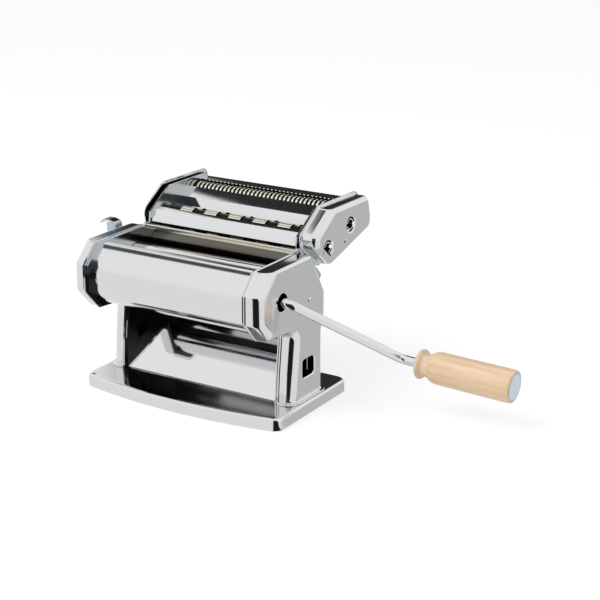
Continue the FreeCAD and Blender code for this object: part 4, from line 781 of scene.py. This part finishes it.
cutterHead = {"y": 31.7, "z": 133.2, "tilt": 15.6}
cutterCover = {
    "corners": [(-17.2, 7.4), (-16.4, 17.4), (15.3, 27.7), (74.6, 10.6), (74.0, -8.0), (71.0, -18.2),
                (0.6, -18.2)],
    "edges": [6.5, 6.5, 5.0, 5.5, 5.5, 5.0, 5.5], "lips": [2.9, 2.9, 2.0, 2.9, 2.9, 2.9, 2.0],
    "root": 79.0, "right": 94.0, "left": 84.0, "corner": 7.0, "growth": (-0.45, 0.0), "fillet": 1.2,
    "drive": [(0.0, 0.0), (38.6, 1.3)], "hole": 6.5,
    # The rim is pressed inwards round the hole: how much wider it is at each depth
    "rim": [(1.6, 0.0), (1.3, 0.05), (0.8, 0.35), (0.3, 0.6), (0.05, 0.7), (0.0, 0.9)],
}
cutterSheets = {
    "CutterFrontSheet": {"line": [(-5.8, 16.8), (-10.2, 16.8), (-17.0, 10.9), (-18.3, 8.75)], "half": 74.5,
                         "bend": 0.9, "node": "cutter_front_sheet"},
    "CutterRidge": {"line": [(21.9, 1.6), (27.0, 10.5), (44.3, 10.5)], "half": 74.5, "bend": 1.0,
                    "wall": -0.5, "node": "cutter_ridge_sheet"},
    "CutterBackCover": {"line": [(61.0, 9.4), (71.2, 7.9), (68.8, -8.0), (66.6, -12.8)], "half": 74.5,
                        # Its back is painted near-black as the shade behind the sheet
                        "bend": 2.0, "wall": -0.8, "paintedShadeBack": True, "finish": drawnChrome,
                        "node": "cutter_back_cover"},
}


def tilted(flat):  # from the head's level plane to the plane across the rollers
    angle = radians(cutterHead["tilt"])
    return np.column_stack([cutterHead["y"] + flat[:, 0] * cos(angle) - flat[:, 1] * sin(angle),
                            cutterHead["z"] + flat[:, 0] * sin(angle) + flat[:, 1] * cos(angle)])


def tiltedPoint(point):
    return tuple(tilted(np.array([point], float))[0])


def makeCutterCover(name, side, node, face, holes):
    # The outer shell and its inside, painted near-black as shade, each face with the rim of every drive
    # hole
    size = cutterCover
    loops = shellLoops(size, face, side, lambda flat, x: inSpace(tilted(flat), x))
    rims = [rimRings(tiltedPoint(hole), size["hole"], face, side, size["rim"]) for hole in holes]
    patches = [(*sleeve(loops[:4]), 1.0), sleeve(loops[3:])] + [sleeve(rim) for rim in rims]
    patches += [(*cap([loops[0]] + [rim[-1] for rim in rims]), 1.0),
                cap([loops[-1]] + [rim[0] for rim in rims])]
    makePiece(name, patches, drawnChrome, "cutter_head", [node])


makeCutterCover("CutterCoverRight", 1, "cutter_cover_right", cutterCover["right"], cutterCover["drive"])
makeCutterCover("CutterCoverLeft", -1, "cutter_cover_left", cutterCover["left"], [])
for name, size in cutterSheets.items():
    makeSheet(name, size, "cutter_head", tilted)


# Cutter head: the wide and the fine cutting rollers, with bright rings and grooves painted dark as shade

wideCut = {"ring": 7.2, "core": 6.0, "pitch": 25.4, "width": 12.5, "count": 5}
fineCut = {"ring": 8.3, "core": 7.1, "pitch": 4.2, "width": 1.9, "last": []}
frontBar = {"end": 93.0, "socket": True}
rearBar = {"end": 86.5, "socket": False}
cutterRollers = {
    "WideCutterFront": {**wideCut, **frontBar, "axis": (0.0, 0.0), "first": -50.7, "last": [(-74.2, -63.6)],
                        "body": "wide_front", "node": "wide_roller_front"},
    "WideCutterRear": {**wideCut, **rearBar, "axis": (13.6, 0.0), "first": -63.4, "last": [(63.6, 74.2)],
                       "body": "wide_rear", "node": "wide_roller_rear"},
    "FineCutterFront": {**fineCut, **frontBar, "axis": (38.6, 1.3), "first": -70.25, "count": 34,
                        "body": "fine_front", "node": "fine_roller_front"},
    "FineCutterRear": {**fineCut, **rearBar, "axis": (54.4, 1.3), "first": -72.35, "count": 35,
                       "body": "fine_rear", "node": "fine_roller_rear"},
}
# The bar that all four are turned from, and the crank's socket with two slots at its mouth
cutterBar = {"half": 74.2, "start": -77.5, "journal": 5.0, "edge": 0.15, "endEdge": 0.3, "segments": 64,
             "bore": 4.05, "mouth": 3.0, "slot": 1.2, "mouthSteps": 25}


def makeCutterRoller(name, size):
    # One turned profile: journal, core, a ring at every pitch, journal; the faces off the rings carry
    # painted shade
    bar, core, outer, end = cutterBar, size["core"], size["ring"], size["end"]
    half, journal, edge, bore = bar["half"], bar["journal"], bar["edge"], bar["bore"]
    starts = size["first"] + size["pitch"] * np.arange(size["count"])
    spans = sorted([(start, start + size["width"]) for start in starts] + size["last"])
    profile = [(bar["start"], 0.0), (bar["start"], journal), (-half, journal), (-half, core)]
    # shine: the share of painted shade at each point of the profile, 1 in the grooves and deep in the
    # socket
    shine = [0.0, 0.0, 1.0]
    for low, high in spans:
        profile += [(low, core), (low, outer - edge), (low + edge, outer), (high - edge, outer),
                    (high, outer - edge), (high, core)]
        shine += [1.0, 1.0, 0.0, 0.0, 0.0, 1.0]
    profile += [(half, core), (half, journal)]
    shine += [1.0, 1.0]
    centre = tiltedPoint(size["axis"])
    mouths = []
    if size["socket"]:
        mouth, bottom = end - bar["mouth"], end - socketDepth
        profile += [(mouth, journal), (mouth, bore), (bottom, bore), (bottom, 0.0)]
        shine += [0.0, 0.0, 1.0, 1.0]
        # The mouth's two half rings: out along the journal and back along the bore, between the slots
        fromSlot, boreSlot = np.arcsin(bar["slot"] / journal), np.arcsin(bar["slot"] / bore)
        arc = np.concatenate([np.linspace(fromSlot, pi - fromSlot, bar["mouthSteps"]),
                              np.linspace(pi - boreSlot, boreSlot, bar["mouthSteps"])])
        radius = np.repeat([journal, bore], bar["mouthSteps"])
        for side in (1, -1):
            mouths += alongX(onCircle(arc) * radius[:, None] * (1, side) + centre, mouth, end)
    else:
        profile += [(end - bar["endEdge"], journal), (end, journal - bar["endEdge"]), (end, 0.0)]
        shine += [0.0, 0.0, 0.0]
    points, faces = turned(profile, centre, bar["segments"])[0]
    patches = [(points, faces, np.repeat(shine, bar["segments"]))] + mouths
    makePiece(name, patches, cutterSteel, size["body"], [size["node"]])


for name, size in cutterRollers.items():
    makeCutterRoller(name, size)
print("cutter head made")


# Studio: floor, surroundings, lamps and camera

# Lengths in metres. A wedge's directions are degrees round the pivot at the object's right side, from the
# front towards +X. The last number of a wedge and of the strip beside the object is its soft width.
studio = {
    "floorSize": 8.0, "glow": 0.72, "white": "#FFFFFF", "paper": "#F4F4F4", "pivot": (0.094, -0.045),
    "darkWedge": (2.0, 62.0, 4.0), "greyWedge": (140.0, 400.0, 3.0), "besideX": (0.09, 0.122, 0.004),
    "besideY": (-0.045, 0.5, 0.01), "lightTone": 0.92, "greyTone": 0.6, "darkTone": 0.015,
}


def mask(tree, source, low, high, soft):  # 1 between low and high, falling to 0 over the soft width
    sides = [addNode(tree, "MapRange", {"interpolation_type": "SMOOTHSTEP", 1: edge - soft, 2: edge + soft,
                                        3: start, 4: 1.0 - start}, {0: source})
             for edge, start in ((low, 0.0), (high, 1.0))]
    return addNode(tree, "Math", multiply, dict(enumerate(sides)))


def floorTone(tree):
    # How bright metal sees the floor: light in front, painted grey shade behind the right side and in a
    # strip beside it, painted dark shade under the photographer. The direction is the arc tangent of (x -
    # pivot) / (pivot - y)
    place = addNode(tree, "TexCoord")
    parts = addNode(tree, "SeparateXYZ", links={0: place.outputs["Object"]}).outputs
    aside = addNode(tree, "Math", {"operation": "SUBTRACT", 1: studio["pivot"][0]}, {0: parts[0]})
    ahead = addNode(tree, "Math", {"operation": "SUBTRACT", 0: studio["pivot"][1]}, {1: parts[1]})
    turn = addNode(tree, "Math", {"operation": "ARCTAN2"}, {0: aside, 1: ahead})
    turn = addNode(tree, "Math", inDegrees, {0: turn})
    dark = mask(tree, turn, *studio["darkWedge"])
    grey = mask(tree, turn, *studio["greyWedge"])
    beside = addNode(tree, "Math", multiply, {0: mask(tree, parts[0], *studio["besideX"]),
                                              1: mask(tree, parts[1], *studio["besideY"])})
    grey = addNode(tree, "Math", larger, {0: grey, 1: beside})
    tone = addNode(tree, "MapRange", {3: studio["lightTone"], 4: studio["greyTone"]}, {0: grey})
    kept = addNode(tree, "MapRange", {3: 1.0, 4: studio["darkTone"]}, {0: dark})
    return addNode(tree, "Math", multiply, {0: tone, 1: kept})


def makeFloor():
    # White paper: it scatters the lamp's light, eyes see it nearly white, and metal sees floorTone
    points = np.array([(-1, -1, 0), (1, -1, 0), (1, 1, 0), (-1, 1, 0)], float) * studio["floorSize"] / 2
    mesh = bpy.data.meshes.new("StudioFloor")
    mesh.from_pydata(points.tolist(), [], [[0, 1, 2, 3]])
    floor = bpy.data.objects.new("StudioFloor", mesh)
    bpy.context.scene.collection.objects.link(floor)
    material = bpy.data.materials.new("WhiteStudioPaper")
    tree = emptyTree(material)
    rays = addNode(tree, "LightPath").outputs
    direct = addNode(tree, "Math", larger, {0: rays["Is Camera Ray"], 1: rays["Is Transmission Ray"]})
    seen = addNode(tree, "Math", {"operation": "MULTIPLY", 1: studio["glow"]}, {0: direct})
    share = addNode(tree, "Math", larger, {0: seen, 1: rays["Is Glossy Ray"]})
    tone = addNode(tree, "Mix", {2: 1.0}, {0: rays["Is Glossy Ray"], 3: floorTone(tree)})
    paper = addNode(tree, "BsdfDiffuse", {"Color": linear(studio["paper"])})
    glow = addNode(tree, "Emission", {"Color": linear(studio["white"])}, {"Strength": tone})
    surface = addNode(tree, "MixShader", links={0: share, 1: paper, 2: glow})
    addNode(tree, "OutputMaterial", links={"Surface": surface})
    mesh.materials.append(material)


# The room round the table: white walls with dark flags. Each flag: azimuths from the front towards +X and
# elevations, in degrees, each pair with its soft width, and how dark it is.
darkFlags = [
    ((-162.0, -141.2, 2.0), (4.0, 52.0, 3.0), 0.97),
    ((-146.0, -138.5, 1.5), (6.0, 17.5, 1.5), 0.9),
    ((-174.0, -158.0, 7.0), (4.0, 52.0, 3.0), 0.75),
    ((-162.0, -131.8, 1.0), (28.0, 47.5, 2.0), 0.97),
    ((-110.0, -88.0, 3.0), (46.0, 66.0, 3.0), 0.93),
    ((-100.0, 25.0, 20.0), (-20.0, 6.0, 10.0), 0.1),
    ((4.0, 62.0, 3.0), (-2.0, 30.0, 3.0), 0.95),
]


def makeWorld():
    # Reflections see the flagged room, the camera plain white. Each flag keeps 1 - dark x its two masks
    world = bpy.data.worlds.new("Studio")
    bpy.context.scene.world = world
    tree = emptyTree(world)
    place = addNode(tree, "TexCoord")
    parts = addNode(tree, "SeparateXYZ", links={0: place.outputs["Generated"]}).outputs
    front = addNode(tree, "Math", {"operation": "MULTIPLY", 1: -1.0}, {0: parts[1]})
    azimuth = addNode(tree, "Math", {"operation": "ARCTAN2"}, {0: parts[0], 1: front})
    azimuth = addNode(tree, "Math", inDegrees, {0: azimuth})
    height = addNode(tree, "Math", {"operation": "ARCSINE"}, {0: parts[2]})
    height = addNode(tree, "Math", inDegrees, {0: height})
    level = addNode(tree, "Value")
    level.outputs[0].default_value = 1.0
    for across, upwards, dark in darkFlags:
        masks = {0: mask(tree, azimuth, *across), 1: mask(tree, height, *upwards)}
        shade = addNode(tree, "Math", multiply, masks)
        kept = addNode(tree, "Math", {"operation": "MULTIPLY_ADD", 1: -dark, 2: 1.0}, {0: shade})
        level = addNode(tree, "Math", multiply, {0: level, 1: kept})
    room = addNode(tree, "Background", {"Color": linear(studio["white"])}, {"Strength": level})
    plain = addNode(tree, "Background", {"Color": linear(studio["white"]), "Strength": 1.0})
    rays = addNode(tree, "LightPath")
    surface = addNode(tree, "MixShader", links={0: rays.outputs["Is Camera Ray"], 1: room, 2: plain})
    addNode(tree, "OutputWorld", links={"Surface": surface})


softKey = {"place": (-0.5, -0.9, 1.3), "target": (0.0, 0.0, 0.06), "size": 1.2, "power": 26.0}


def makeLamp():  # one large square lamp that metal doesn't mirror
    light = bpy.data.lights.new("SoftKey", "AREA")
    light.energy = softKey["power"]
    light.size = softKey["size"]
    lamp = bpy.data.objects.new("SoftKey", light)
    bpy.context.scene.collection.objects.link(lamp)
    lamp.location = softKey["place"]
    aim = np.array(softKey["target"]) - np.array(softKey["place"])
    lamp.rotation_euler = Vector(aim).to_track_quat("-Z", "Y").to_euler()
    lamp.visible_glossy = False


camera = {"place": (0.70315, -0.99318, 0.48574), "azimuth": 31.87, "elevation": 18.46, "lens": 90.1,
          "sensor": 36.0, "near": 0.01}


def makeCamera():
    view = bpy.data.cameras.new("PhotoCamera")
    view.lens = camera["lens"]
    view.sensor_width = camera["sensor"]
    view.clip_start = camera["near"]
    eye = bpy.data.objects.new("PhotoCamera", view)
    eye.location = camera["place"]
    eye.rotation_euler = (radians(90 - camera["elevation"]), 0.0, radians(camera["azimuth"]))
    bpy.context.scene.collection.objects.link(eye)
    bpy.context.scene.camera = eye


makeFloor()
makeWorld()
makeLamp()
makeCamera()
bpy.context.scene.view_settings.view_transform = "Standard"
print("studio made")
